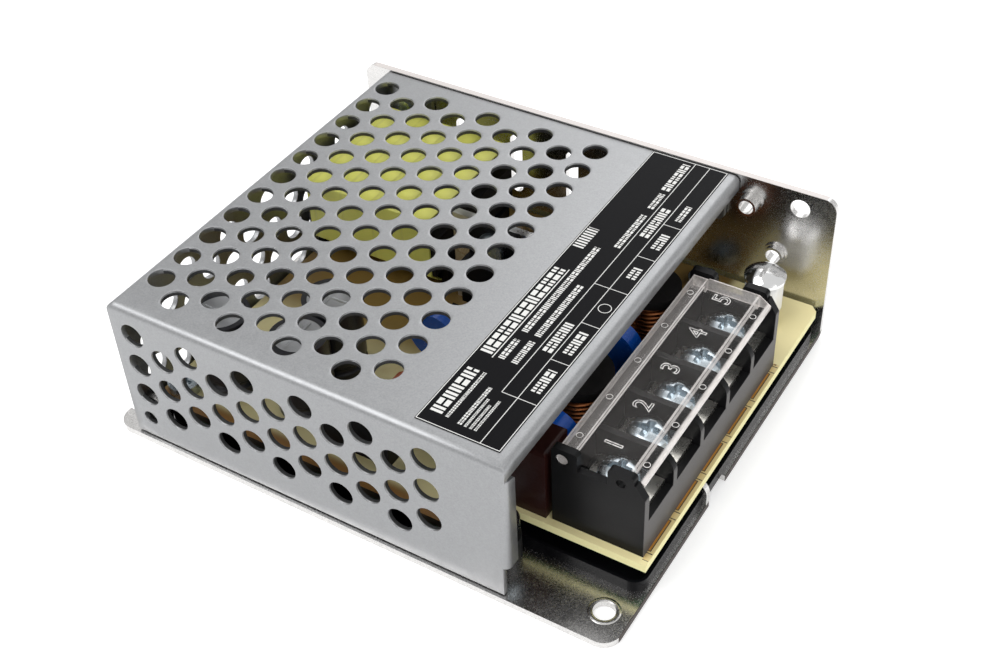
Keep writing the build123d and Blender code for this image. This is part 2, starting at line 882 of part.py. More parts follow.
terminal_parts = {}
for number, pole_y in enumerate(pole_centres, start=1):
    with BuildPart() as clamp_washer:
        with BuildSketch(Plane.XY.offset(contact_top)) as washer_shape:
            with Locations((screw_x, pole_y)):
                RectangleRounded(washer_side, washer_side, washer_corner)
                Circle(screw_radius + shank_clearance, mode=Mode.SUBTRACT)
        extrude(amount=washer_gauge)
    with BuildPart() as terminal_screw:
        with BuildSketch(cross_plane(pole_y)) as half_profile:
            with BuildLine():
                Polyline(
                    (screw_x, sill - screw_reach + screw_end_gap),
                    (screw_x + screw_radius, sill - screw_reach + screw_end_gap),
                    (screw_x + screw_radius, washer_top),
                    (screw_x + screw_head_radius, washer_top),
                    (screw_x + screw_head_radius, head_top - screw_head_chamfer),
                    (screw_x + screw_head_radius - screw_head_chamfer, head_top),
                    (screw_x, head_top),
                    close=True,
                )
            make_face()
        revolve(axis=Axis((screw_x, pole_y, 0), (0, 0, 1)))
        with Locations((screw_x, pole_y, head_top)):
            Box(drive_length, drive_width, 2 * drive_depth, mode=Mode.SUBTRACT)
            Box(drive_width, drive_length, 2 * drive_depth, mode=Mode.SUBTRACT)
    terminal_parts[f"clamp_washer_{number}"] = clamp_washer
    terminal_parts[f"terminal_screw_{number}"] = terminal_screw

# Trimmer
trimmer_x = block_front - trimmer_setback
wall_room = wall_inner - mount_collar_length - block_far - 2 * rotor_radius
near_share = trimmer_near_room / (trimmer_near_room + trimmer_far_room)
trimmer_y = block_far + rotor_radius + wall_room * near_share
trimmer_low = board_top + trimmer_stand
trimmer_high = trimmer_low + trimmer_body_height
with BuildPart() as trimmer_body:
    with BuildSketch(Plane.XY.offset(trimmer_low)):
        with Locations((trimmer_x, trimmer_y)):
            RectangleRounded(trimmer_side, trimmer_side, trimmer_corner)
    extrude(amount=trimmer_body_height)
    fillet(trimmer_body.faces().sort_by(Axis.Z)[-1].edges(), trimmer_edge)
    rod(
        trimmer_x,
        trimmer_y,
        (trimmer_high - rotor_shaft_length - fit_clearance, trimmer_high + over),
        rotor_shaft_radius + pin_clearance,
        Mode.SUBTRACT,
    )
with BuildPart() as trimmer_rotor:
    rotor_low = trimmer_high + rotor_gap
    with BuildSketch(cross_plane(trimmer_y)) as rotor_profile:
        with BuildLine():
            Polyline(
                (trimmer_x, trimmer_high - rotor_shaft_length),
                (trimmer_x + rotor_shaft_radius, trimmer_high - rotor_shaft_length),
                (trimmer_x + rotor_shaft_radius, rotor_low),
                (trimmer_x + rotor_radius, rotor_low),
                (trimmer_x + rotor_radius, rotor_low + rotor_rim),
            )
            ThreePointArc(
                (trimmer_x + rotor_radius, rotor_low + rotor_rim),
                (
                    trimmer_x + rotor_radius * rotor_crown[0],
                    rotor_low + rotor_height * rotor_crown[1],
                ),
                (trimmer_x, rotor_low + rotor_height),
            )
            Line(
                (trimmer_x, rotor_low + rotor_height),
                (trimmer_x, trimmer_high - rotor_shaft_length),
            )
        make_face()
    revolve(axis=Axis((trimmer_x, trimmer_y, 0), (0, 0, 1)))
    with Locations((trimmer_x, trimmer_y, rotor_low + rotor_height)):
        Box(rotor_cross, drive_width, rotor_height, mode=Mode.SUBTRACT)
        Box(drive_width, rotor_cross, rotor_height, mode=Mode.SUBTRACT)
with BuildPart() as trimmer_leads:
    for lead_x, lead_y in trimmer_leads_at:
        with Locations((trimmer_x + lead_x, trimmer_y + lead_y, (board_top + trimmer_low) / 2)):
            Box(lead_side, trimmer_lead_width, trimmer_stand)

# Transformer: a ferrite ring of two halves, a former on its middle leg, the winding and a tape wrap
transformer_x, transformer_y = spot(transformer_spot)
core_run = core_length * stretch_x
core_span = core_width * stretch_y
core_tall = core_height * rise
leg_span = core_leg * stretch_y
core_low = board_top + core_rise * rise
core_high = core_low + core_tall
core_mid = (core_low + core_high) / 2
core_x = (transformer_x - core_run / 2, transformer_x + core_run / 2)
window_x = (core_x[0] + core_back * stretch_x, core_x[1] - core_back * stretch_x)
window_width = core_span / 2 - leg_span
with BuildPart() as transformer_core:
    with BuildSketch(Plane.XY.offset(core_low)):
        with Locations((transformer_x, transformer_y)):
            Rectangle(core_run, core_span)
            with GridLocations(1, leg_span + window_width, 1, 2):
                Rectangle(window_x[1] - window_x[0], window_width, mode=Mode.SUBTRACT)
    extrude(amount=core_tall)
    slab(
        (transformer_x - air_gap / 2, transformer_x + air_gap / 2),
        (transformer_y - core_span, transformer_y + core_span),
        (core_low - over, core_high + over),
        Mode.SUBTRACT,
    )
former_y = leg_span / 2 + fit_clearance
former_z = core_tall / 2 + fit_clearance
flange_y = leg_span / 2 + window_width - fit_clearance
flange_z = former_z + former_wall + winding_bulge * rise
rail_low = board_top + former_wall
tape_run = tape_width * stretch_x
tape_x = (transformer_x - tape_run / 2, transformer_x + tape_run / 2)
with BuildPart() as transformer_bobbin:
    with BuildSketch(Plane.YZ.offset(window_x[0] + fit_clearance)):
        with Locations((transformer_y, core_mid)):
            Rectangle(2 * (former_y + former_wall), 2 * (former_z + former_wall))
            Rectangle(2 * former_y, 2 * former_z, mode=Mode.SUBTRACT)
    extrude(amount=window_x[1] - window_x[0] - 2 * fit_clearance)
    for side in (-1, 1):
        flange_x = transformer_x + side * (window_x[1] - transformer_x - fit_clearance - former_wall / 2)
        with Locations((flange_x, transformer_y, core_mid)):
            Box(former_wall, 2 * flange_y, 2 * flange_z)
            Box(former_wall, 2 * former_y, 2 * former_z, mode=Mode.SUBTRACT)
        rail_x = transformer_x + side * (tape_run / 2 + fit_clearance + pin_rail / 2)
        tongue = sorted((flange_x, rail_x))
        slab(
            tongue,
            (transformer_y - flange_y, transformer_y + flange_y),
            (core_mid - flange_z, core_low - fit_clearance),
        )
        slab(
            (rail_x - pin_rail / 2, rail_x + pin_rail / 2),
            (
                transformer_y - core_span / 2 + rail_inset,
                transformer_y + core_span / 2 - rail_inset,
            ),
            (rail_low, core_low - fit_clearance),
        )
coil_x = (
    window_x[0] + 2 * fit_clearance + former_wall,
    window_x[1] - 2 * fit_clearance - former_wall,
)
with BuildPart() as transformer_winding:
    with BuildSketch(Plane.YZ.offset(coil_x[0])):
        with Locations((transformer_y, core_mid)):
            RectangleRounded(
                2 * (former_y + former_wall + winding_side),
                2 * (flange_z - winding_inset),
                winding_corner,
            )
            Rectangle(
                2 * (former_y + former_wall + winding_gap),
                2 * (former_z + former_wall + winding_gap),
                mode=Mode.SUBTRACT,
            )
    extrude(amount=coil_x[1] - coil_x[0])
tape_y = core_span / 2 + fit_clearance
tape_z = flange_z + fit_clearance
with BuildPart() as transformer_tape:
    with BuildSketch(Plane.YZ.offset(tape_x[0])) as wrap:
        with Locations((transformer_y, core_mid)):
            Rectangle(2 * tape_y, core_tall + 2 * fit_clearance)
            Rectangle(2 * (flange_y + fit_clearance), 2 * tape_z)
        with Locations((transformer_y, core_mid + tape_z / 2)):
            Rectangle(2 * tape_y, tape_z)
        make_hull()
    with BuildSketch(Plane.YZ.offset(tape_x[0])) as tape_ring:
        add(wrap.sketch_local)
        offset(amount=tape_gauge, mode=Mode.REPLACE)
        add(wrap.sketch_local, mode=Mode.SUBTRACT)
    extrude(tape_ring.sketch, amount=tape_run)


def can(place, radius, height):
    """A capacitor can standing on the board, with a crimp groove near its foot."""
    x, y = spot(place)
    rod(x, y, (board_top, board_top + height), radius * stretch)
    with Locations((x, y, board_top + can_groove_height)):
        Torus(radius * stretch + can_groove, 2 * can_groove, mode=Mode.SUBTRACT)


def disc(place, radius):
    """A round disc part standing on edge above the board, with its axis along Y."""
    x, y = spot(place)
    half = disc_thickness * stretch / 2
    round_side = radius * stretch
    side_rod(x, (y - half, y + half), board_top + disc_stand + round_side, round_side)


def drum(place, radius):
    """A ferrite drum on the board, with a neck between two flanges."""
    x, y = spot(place)
    top = board_top + choke_height
    rod(x, y, (board_top, board_top + choke_flange), radius * stretch)
    rod(x, y, (board_top, top), radius * stretch * choke_neck)
    rod(x, y, (top - choke_flange, top), radius * stretch)


def drum_winding(place, radius):
    """The ring of wire between a drum's flanges."""
    x, y = spot(place)
    coil_z = (board_top + choke_flange, board_top + choke_height - choke_flange)
    rod(x, y, coil_z, radius * stretch - choke_winding_inset)
    rod(x, y, coil_z, radius * stretch * choke_neck + winding_gap, Mode.SUBTRACT)


def device(x, face):
    """A three-leg power device on the board, its metal back at a larger Y than its face."""
    low = board_top + device_stand * rise
    high = low + device_height * rise
    back = face + device_thickness
    half = device_width * stretch / 2
    slab((x - half, x + half), (face, back), (low, high))
    slab((x - half, x + half), (back - device_tab, back), (high, high + device_tab_height * rise))
    side_rod(
        x,
        (back - device_tab - over, back + over),
        device_hole_height,
        board_screw_radius + fit_clearance,
        Mode.SUBTRACT,
    )


# Capacitors, varistor, thermistor and fuse
with BuildPart() as bulk_capacitors:
    for can_spot in bulk_spots:
        can(can_spot, bulk_radius, bulk_height)
with BuildPart() as output_capacitors:
    for can_spot in output_spots:
        can(can_spot, output_radius, output_height)
with BuildPart() as x_capacitor:
    box_on_board(x_capacitor_box, (0, x_capacitor_height))
    fillet(x_capacitor.faces().sort_by(Axis.Z)[-1].edges(), x_capacitor_edge)
with BuildPart() as snubber_capacitor:
    box_on_board(snubber_box, (0, snubber_height))
    fillet(snubber_capacitor.edges().filter_by(Axis.Z), snubber_edge)
with BuildPart() as varistor:
    disc(varistor_spot, varistor_radius)
with BuildPart() as y_capacitors:
    for disc_spot in y_capacitor_spots:
        disc(disc_spot, y_capacitor_radius)
with BuildPart() as thermistor:
    disc(thermistor_spot, thermistor_radius)
with BuildPart() as fuse:
    fuse_low, fuse_high = spots(fuse_box)
    side_rod(
        fuse_low[0], (fuse_low[1], fuse_high[1]), board_top + fuse_height, fuse_radius * stretch
    )

# Chokes
with BuildPart() as input_choke_core:
    drum(input_choke_spot, input_choke_radius)
with BuildPart() as input_choke_winding:
    drum_winding(input_choke_spot, input_choke_radius)
with BuildPart() as output_choke_core:
    drum(output_choke_spot, output_choke_radius)
with BuildPart() as output_choke_winding:
    drum_winding(output_choke_spot, output_choke_radius)

# Power devices, their heatsink and their screws
transistor_x, heatsink_y = spot(transistor_spot)
transistor_y = heatsink_y - heatsink_gauge - device_thickness
diode_y = wall_inner - sheet_gauge - device_thickness
half_heatsink = heatsink_length * stretch / 2
with BuildPart() as bridge_rectifier:
    box_on_board(bridge_box, (disc_stand, bridge_height))
with BuildPart() as heatsink:
    slab(
        (transistor_x - half_heatsink, transistor_x + half_heatsink),
        (heatsink_y - heatsink_gauge, heatsink_y),
        (board_top, board_top + heatsink_height * rise),
    )
    side_rod(
        transistor_x,
        (heatsink_y - heatsink_gauge - over, heatsink_y + over),
        device_hole_height,
        board_screw_radius + fit_clearance,
        Mode.SUBTRACT,
    )
with BuildPart() as switching_transistor:
    device(transistor_x, transistor_y)
with BuildPart() as output_diode:
    device(diode_x, diode_y)
with BuildPart() as diode_insulator:
    slab(
        (diode_x - insulator_width / 2, diode_x + insulator_width / 2),
        (wall_inner - sheet_gauge, wall_inner),
        (board_top + insulator_low, device_hole_height + insulator_rise * rise),
    )
    side_rod(
        diode_x,
        (wall_inner - over, wall_inner + over),
        device_hole_height,
        board_screw_radius + fit_clearance,
        Mode.SUBTRACT,
    )
with BuildPart() as device_screws:
    for screw_at, back, tip in (
        (transistor_x, heatsink_y - heatsink_gauge, heatsink_y + device_screw_tip),
        (diode_x, wall_inner - sheet_gauge, half_width - board_screw_low),
    ):
        face = back - device_tab
        side_rod(screw_at, (face, tip), device_hole_height, board_screw_radius)
        side_rod(
            screw_at, (face - board_screw_head_height, face), device_hole_height, board_screw_head
        )

# Small parts flat on the board
axial_height = board_top + axial_rise
with BuildPart() as optocoupler:
    box_on_board(optocoupler_box, (chip_stand, optocoupler_height))
with BuildPart() as control_chip:
    box_on_board(control_chip_box, (chip_stand, control_chip_height))
with BuildPart() as resistors:
    for part_x, part_y in spots(resistor_spots):
        with Locations((part_x, part_y, axial_height)):
            Cylinder(resistor_radius, resistor_length * stretch, rotation=(0, 90, 0))
with BuildPart() as small_diodes:
    for part_x, part_y in spots(diode_spots):
        with Locations((part_x, part_y, axial_height)):
            Cylinder(diode_radius, diode_length * stretch, rotation=(0, 90, 0))
with BuildPart() as component_leads:
    half_lead = lead_side / 2
    # Axial parts: a straight run out of each end and a leg down to the board
    for places, length_along in ((resistor_spots, resistor_length), (diode_spots, diode_length)):
        for part_x, part_y in spots(places):
            for side in (-1, 1):
                end = part_x + side * length_along * stretch / 2
                tip = end + side * lead_run * stretch
                leg = tip - side * half_lead
                slab(
                    sorted((end, tip)),
                    (part_y - half_lead, part_y + half_lead),
                    (axial_height - half_lead, axial_height + half_lead),
                )
                slab(
                    (leg - half_lead, leg + half_lead),
                    (part_y - half_lead, part_y + half_lead),
                    (board_top, axial_height - half_lead),
                )
    # Discs: two legs each
    for part_x, part_y in spots([varistor_spot, *y_capacitor_spots, thermistor_spot]):
        for side in (-1, 1):
            leg = part_x + side * disc_spread * stretch
            slab(
                (leg - half_lead, leg + half_lead),
                (part_y - half_lead, part_y + half_lead),
                (board_top, board_top + disc_stand + disc_sink),
            )
    # Power devices and the bridge: legs in a row
    bridge_low, bridge_high = spots(bridge_box)
    bridge_middle = ((bridge_low[0] + bridge_high[0]) / 2, (bridge_low[1] + bridge_high[1]) / 2)
    for part_x, part_y, count, pitch, height in (
        (transistor_x, transistor_y + device_thickness / 2, 3, device_lead_pitch, device_stand * rise),
        (diode_x, diode_y + device_thickness / 2, 3, device_lead_pitch, device_stand * rise),
        (*bridge_middle, 4, bridge_lead_pitch * stretch, disc_stand),
    ):
        with Locations((part_x, part_y, board_top + height / 2)):
            with GridLocations(pitch, 1, count, 1):
                Box(lead_side, lead_side, height)

pieces = {
    "chassis": chassis,
    "cover": cover,
    "cover_screws": cover_screws,
    "rating_label": rating_label,
    "insulating_tray": insulating_tray,
    "circuit_board": circuit_board,
    "board_spacers": board_spacers,
    "board_screws": board_screws,
    "terminal_housing": terminal_housing,
    "terminal_contacts": terminal_contacts,
    "terminal_lid": terminal_lid,
    **terminal_parts,
    "trimmer_body": trimmer_body,
    "trimmer_rotor": trimmer_rotor,
    "trimmer_leads": trimmer_leads,
    "transformer_core": transformer_core,
    "transformer_bobbin": transformer_bobbin,
    "transformer_winding": transformer_winding,
    "transformer_tape": transformer_tape,
    "bulk_capacitors": bulk_capacitors,
    "output_capacitors": output_capacitors,
    "x_capacitor": x_capacitor,
    "snubber_capacitor": snubber_capacitor,
    "varistor": varistor,
    "y_capacitors": y_capacitors,
    "thermistor": thermistor,
    "fuse": fuse,
    "input_choke_core": input_choke_core,
    "input_choke_winding": input_choke_winding,
    "output_choke_core": output_choke_core,
    "output_choke_winding": output_choke_winding,
    "bridge_rectifier": bridge_rectifier,
    "heatsink": heatsink,
    "switching_transistor": switching_transistor,
    "output_diode": output_diode,
    "diode_insulator": diode_insulator,
    "device_screws": device_screws,
    "optocoupler": optocoupler,
    "control_chip": control_chip,
    "resistors": resistors,
    "small_diodes": small_diodes,
    "component_leads": component_leads,
}
for name, piece in pieces.items():
    piece.part.label = name
    export_step(piece.part, f"parts/{name}.step")
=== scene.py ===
"""The looks of an enclosed power supply: perforated cover, folded chassis and terminal end."""

from __future__ import annotations

import logging
import math
from dataclasses import dataclass, field
from enum import Enum

import bmesh
import bpy
import numpy as np
from mathutils import Matrix, Vector

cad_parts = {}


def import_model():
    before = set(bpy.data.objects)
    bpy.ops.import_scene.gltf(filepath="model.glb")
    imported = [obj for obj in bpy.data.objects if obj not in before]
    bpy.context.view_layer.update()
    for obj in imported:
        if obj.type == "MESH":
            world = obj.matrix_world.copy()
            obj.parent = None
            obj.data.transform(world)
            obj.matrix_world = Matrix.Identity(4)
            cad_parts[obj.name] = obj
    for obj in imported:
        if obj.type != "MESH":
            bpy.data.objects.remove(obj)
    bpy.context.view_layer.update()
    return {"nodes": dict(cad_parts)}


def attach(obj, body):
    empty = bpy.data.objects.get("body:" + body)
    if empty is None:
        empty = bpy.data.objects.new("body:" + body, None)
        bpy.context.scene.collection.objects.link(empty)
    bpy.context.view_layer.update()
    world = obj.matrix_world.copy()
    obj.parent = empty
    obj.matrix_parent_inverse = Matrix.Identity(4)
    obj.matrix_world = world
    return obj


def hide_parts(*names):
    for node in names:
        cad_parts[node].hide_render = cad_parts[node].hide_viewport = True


LOG = logging.getLogger("power_supply")
MM = 0.001
Triple = tuple[float, float, float]
Pair = tuple[float, float]
Material = bpy.types.Material
Piece = bpy.types.Object
POLES = (-22.4, -12.9, -3.4, 6.1, 15.6)
SCREW_X = 40.2


def scaled(colour: Triple, factor: float) -> Triple:
    """A colour times a factor."""
    red, green, blue = colour
    return red * factor, green * factor, blue * factor


class Grain(Enum):
    """The direction in which a metal's fine scratches run."""

    EVEN = (1.0, 1.0, 1.0)
    ALONG_X = (0.06, 1.0, 1.0)


class Relief(Enum):
    """The kind of fine relief that a moulded or dipped surface carries."""

    SPARKED = 0.5
    ORANGE_PEEL = 0.0


class Value:
    """A number that varies over a surface: one output socket with Python's operators."""

    def __init__(self, graph: Graph, socket: bpy.types.NodeSocket) -> None:
        """Keeps the socket and the graph that new nodes go into."""
        self.graph = graph
        self.socket = socket

    def _join(self, operation: str, *others: Value | float, flip: bool = False) -> Value:
        """One Math node.

        Args:
            operation: the Math node's operation.
            others: the other values or numbers.
            flip: true where the first other value comes first.

        Returns:
            The node's result.
        """
        terms = [self, *others]
        if flip:
            terms = [others[0], self, *others[1:]]
        inputs = {index: term for index, term in enumerate(terms)}
        return self.graph.node("ShaderNodeMath", {"operation": operation}, inputs)

    def __add__(self, other: Value | float) -> Value:
        """The sum."""
        return self._join("ADD", other)

    __radd__ = __add__

    def __sub__(self, other: Value | float) -> Value:
        """The difference."""
        return self._join("SUBTRACT", other)

    def __rsub__(self, other: Value | float) -> Value:
        """The difference with the number first."""
        return self._join("SUBTRACT", other, flip=True)

    def __mul__(self, other: Value | float) -> Value:
        """The product."""
        return self._join("MULTIPLY", other)

    __rmul__ = __mul__

    def __truediv__(self, other: Value | float) -> Value:
        """The quotient."""
        return self._join("DIVIDE", other)

    def __abs__(self) -> Value:
        """The size of the value."""
        return self._join("ABSOLUTE")

    def __lt__(self, other: Value | float) -> Value:
        """1 where the value is the lower one, and 0 elsewhere."""
        return self._join("LESS_THAN", other)

    def __gt__(self, other: Value | float) -> Value:
        """1 where the value is the higher one, and 0 elsewhere."""
        return self._join("GREATER_THAN", other)

    def low(self, other: Value | float) -> Value:
        """The lower of the two."""
        return self._join("MINIMUM", other)

    def high(self, other: Value | float) -> Value:
        """The higher of the two."""
        return self._join("MAXIMUM", other)

    def root(self) -> Value:
        """The square root."""
        return self._join("SQRT")

    def step(self, pitch: float) -> Value:
        """The last whole multiple of the pitch."""
        return self._join("SNAP", pitch)

    def repeat(self, pitch: float) -> Value:
        """The distance from the nearest whole multiple of the pitch."""
        return abs(self._join("WRAP", pitch / 2, -pitch / 2))

    def ramp(self, start: float, end: float) -> Value:
        """Rises smoothly from 0 at start to 1 at end.

        Args:
            start: the value up to which it is 0.
            end: the value from which it is 1.

        Returns:
            The share.
        """
        settings = {"interpolation_type": "SMOOTHSTEP", "clamp": True}
        inputs = {"Value": self, "From Min": start, "From Max": end}
        return self.graph.node("ShaderNodeMapRange", settings, inputs)


class Graph:
    """One material's nodes, with short calls for what the finishes need."""

    def __init__(self, name: str) -> None:
        """Makes the material with its shader and output.

        Args:
            name: the material's name.
        """
        self.material = bpy.data.materials.new(name)
        self.material.use_nodes = True
        self.tree = self.material.node_tree
        self.tree.nodes.clear()
        self.shader = self.tree.nodes.new("ShaderNodeBsdfPrincipled")
        output = self.tree.nodes.new("ShaderNodeOutputMaterial")
        self.tree.links.new(self.shader.outputs[0], output.inputs["Surface"])
        self.place = self.node("ShaderNodeTexCoord", {}, {}, "Object").socket

    def node(
        self,
        kind: str,
        settings: dict[str, object],
        inputs: dict[str | int, object],
        output: str | int = 0,
    ) -> Value:
        """Any node, with its settings first and then its inputs.

        Args:
            kind: the node's type.
            settings: the node's own attributes.
            inputs: values or links by socket name or number.
            output: the output socket to return.

        Returns:
            The chosen output as a value.
        """
        made = self.tree.nodes.new(kind)
        for key, setting in settings.items():
            setattr(made, key, setting)
        for key, given in inputs.items():
            socket = made.inputs[key]
            if isinstance(given, Value):
                self.tree.links.new(given.socket, socket)
            elif isinstance(given, bpy.types.NodeSocket):
                self.tree.links.new(given, socket)
            else:
                socket.default_value = given
        return Value(self, made.outputs[output])

    def axes(self) -> tuple[Value, Value, Value]:
        """The place on the object in millimetres, along X, Y and Z.

        Returns:
            The three places.
        """
        parts = [
            self.node("ShaderNodeSeparateXYZ", {}, {0: self.place}, axis) / MM
            for axis in ("X", "Y", "Z")
        ]
        return parts[0], parts[1], parts[2]

    def noise(
        self, size: float, detail: float = 2.0, stretch: Triple = (1, 1, 1)
    ) -> Value:
        """Even noise around 0.5.

        Args:
            size: the size of one patch in millimetres.
            detail: how many finer layers it has.
            stretch: how fast it changes along each axis.

        Returns:
            The noise.
        """
        inputs = {"Vector": self.place, "Scale": Vector(stretch)}
        placed = self.node("ShaderNodeMapping", {}, inputs)
        inputs = {"Vector": placed, "Scale": 1.0 / (size * MM), "Detail": detail}
        return self.node("ShaderNodeTexNoise", {}, inputs)

    def spangle(self, size: float) -> Value:
        """Flat crystal patches, each with its own value from 0 to 1.

        Args:
            size: the size of one patch in millimetres.

        Returns:
            The patches' values.
        """
        inputs = {"Vector": self.place, "Scale": 1.0 / (size * MM)}
        cells = self.node("ShaderNodeTexVoronoi", {"feature": "F1"}, inputs, "Color")
        return self.node("ShaderNodeSeparateXYZ", {}, {0: cells}, "X")

    def blend(self, first: object, second: object, share: Value | float) -> Value:
        """A colour between two colours.

        Args:
            first: the colour at a share of 0.
            second: the colour at a share of 1.
            share: how much of the second shows.

        Returns:
            The colour.
        """
        first, second = (
            (*c, 1.0) if isinstance(c, tuple) and len(c) == 3 else c for c in (first, second)
        )
        settings = {"data_type": "RGBA", "clamp_factor": True}
        return self.node("ShaderNodeMix", settings, {0: share, 6: first, 7: second}, 2)

    def bump(self, height: Value, depth: float) -> Value:
        """A normal from a height of 0 to 1 and its depth in millimetres."""
        inputs = {"Height": height, "Distance": depth * MM}
        return self.node("ShaderNodeBump", {}, inputs, "Normal")

    def finish(self, **given: object) -> Material:
        """Sets the shader's sockets, named with underscores for spaces.

        Args:
            given: a number, a colour or a value for each socket.

        Returns:
            The finished material.
        """
        for key, value in given.items():
            socket = self.shader.inputs[key.replace("_", " ")]
            if isinstance(value, Value):
                self.tree.links.new(value.socket, socket)
            elif isinstance(value, tuple) and len(value) == 3:
                socket.default_value = (*value, 1.0)
            else:
                socket.default_value = value
        return self.material


@dataclass(frozen=True)
class PunchedSheet:
    """Where a folded sheet's punched hole walls lie: its outside faces, its ends and its gauge."""

    top: float
    near: float
    rear: float
    front: float
    gauge: float
    fold: float
    foot: float = 3.0
    skin: float = 0.08
    # lip: depth of the painted highlight band at each hole wall's outer rim; deeper in is painted
    # shade
    lip: float = 0.3
    lip_blur: float = 0.06

    def walls(self, graph: Graph) -> tuple[Value, Value]:
        """A painted highlight along each hole wall's outer rim, and painted shade deeper in the
        wall.

        Args:
            graph: the material's nodes.

        Returns:
            The share of painted highlight and the share of painted shade; both are 0 on the sheet's
            faces.
        """
        x, y, z = graph.axes()
        along = (x > self.rear + self.fold) * (x < self.front - self.fold)
        below, inward = self.top - z, y - self.near
        far_skin = self.gauge - self.skin / 4
        in_top = (below > self.skin) * (below < far_skin) * (inward > self.fold)
        in_side = (inward > self.skin) * (inward < far_skin)
        in_side = in_side * (below > self.fold) * (z > self.foot)
        depth = in_top * below + in_side * inward
        deep = depth.ramp(self.lip - self.lip_blur, self.lip + self.lip_blur)
        inside = along * in_top.high(in_side)
        return inside * (1 - deep), inside * deep


@dataclass(frozen=True)
class PlatedMetal:
    """Zinc, tin or another bright metal: grain, blotches and fine scratches.

    Its sheared edge is bare steel, darkened with painted shade, ahead of one place along X and
    under one height; its top edge is pale over one height as a painted highlight; and its punched
    hole walls carry painted shade, with a painted highlight along their outer rim.
    """

    name: str
    colour: Triple
    roughness: float
    grain_size: float = 0.35
    grain_depth: float = 0.004
    blotch_size: float = 6.0
    blotch: float = 0.12
    scratches: Grain = Grain.EVEN
    metallic: float = 1.0
    speckle: float = 0.0
    sheared: Pair | None = None
    pale_top: float | None = None
    punched: PunchedSheet | None = None
    bare_steel: tuple[Triple, Triple] = ((0.03, 0.022, 0.02), (0.10, 0.08, 0.07))
    rim_colour: Triple = (0.64, 0.60, 0.58)

    def material(self) -> Material:
        """The plated finish as a material.

        Returns:
            The material.
        """
        graph = Graph(self.name)
        grain = graph.noise(self.grain_size, 3.0)
        blotch = graph.noise(self.blotch_size, 4.0)
        spangle = graph.spangle(self.blotch_size / 5)
        shade = (blotch - 0.5) * self.blotch * 2 + (spangle - 0.5) * self.blotch
        dark = scaled(self.colour, 1 - 2.2 * self.blotch)
        bright = scaled(self.colour, 1 + 1.4 * self.blotch)
        fine = (grain - 0.5) * (self.blotch + self.speckle * 4)
        colour = graph.blend(dark, bright, shade * 2.5 + 0.5 + fine)
        streak = graph.noise(1.2, 4.0, self.scratches.value)
        height = grain * 0.6 + streak * 0.4
        normal = graph.bump(height, self.grain_depth)
        rough = (self.roughness + (blotch - 0.5) * 0.16 + (streak - 0.5) * 0.10).high(0.05)
        rough = rough + (grain - 0.5) * self.speckle * 0.6
        # the base's front edge: bare steel, made much darker as painted shade
        if self.sheared is not None:
            x, _, z = graph.axes()
            bare = (x > self.sheared[0]) * (z < self.sheared[1])
            steel = graph.blend(*self.bare_steel, streak)
            colour = graph.blend(colour, steel, bare)
            rough = rough + bare * 0.25
        if self.punched is not None:
            # painted shade on the punched hole walls, with a painted highlight along their outer
            # rim
            lip, painted_hole_shade = self.punched.walls(graph)
            colour = graph.blend(colour, scaled(self.colour, 0.2), painted_hole_shade * 0.9)
            colour = graph.blend(colour, scaled(self.colour, 2.2), lip * 0.8)
            rough = rough + painted_hole_shade * 0.2
        metallic: Value | float = self.metallic
        # painted highlight: the chassis wall's top edge pale and mostly non-metal
        if self.pale_top is not None:
            rim = graph.axes()[2] > self.pale_top
            colour = graph.blend(colour, self.rim_colour, rim)
            metallic = 1 - rim * 0.8
            rough = rough + rim * 0.2
        return graph.finish(Base_Color=colour, Metallic=metallic, Roughness=rough, Normal=normal)


@dataclass(frozen=True)
class MouldedPlastic:
    """An opaque moulding or a dipped coating with a fine relief."""

    name: str
    colour: Triple
    roughness: float
    relief: Relief = Relief.SPARKED
    relief_size: float = 0.25
    relief_depth: float = 0.01
    coat: float = 0.0
    gloss: float = 0.4
    matt_front: float | None = None
    matt_colour: Triple = (0.11, 0.105, 0.105)
    broad_ratio: float = 14

    def material(self) -> Material:
        """The plastic as a material.

        Returns:
            The material.
        """
        graph = Graph(self.name)
        fine = graph.noise(self.relief_size, 2.0)
        broad = graph.noise(self.relief_size * self.broad_ratio, 3.0)
        pale = scaled(self.colour, 1.25)
        colour = graph.blend(self.colour, pale, (broad - 0.35) * 1.6 + (fine - 0.5) * 0.6)
        # painted reflection: the housing's front face made lighter grey, as if it reflected the
        # bright background
        if self.matt_front is not None:
            front = graph.axes()[0] > self.matt_front
            colour = graph.blend(colour, self.matt_colour, front * (0.75 + (broad - 0.5) * 0.6))
        mix = self.relief.value
        height = fine * (0.5 + mix) + broad * (0.5 - mix)
        rough = (self.roughness + (broad - 0.5) * 0.14 + (fine - 0.5) * 0.08).high(0.04)
        return graph.finish(
            Base_Color=colour,
            Roughness=rough,
            Coat_Weight=self.coat,
            Coat_Roughness=0.06,
            Specular_IOR_Level=self.gloss,
            Normal=graph.bump(height, self.relief_depth),
        )


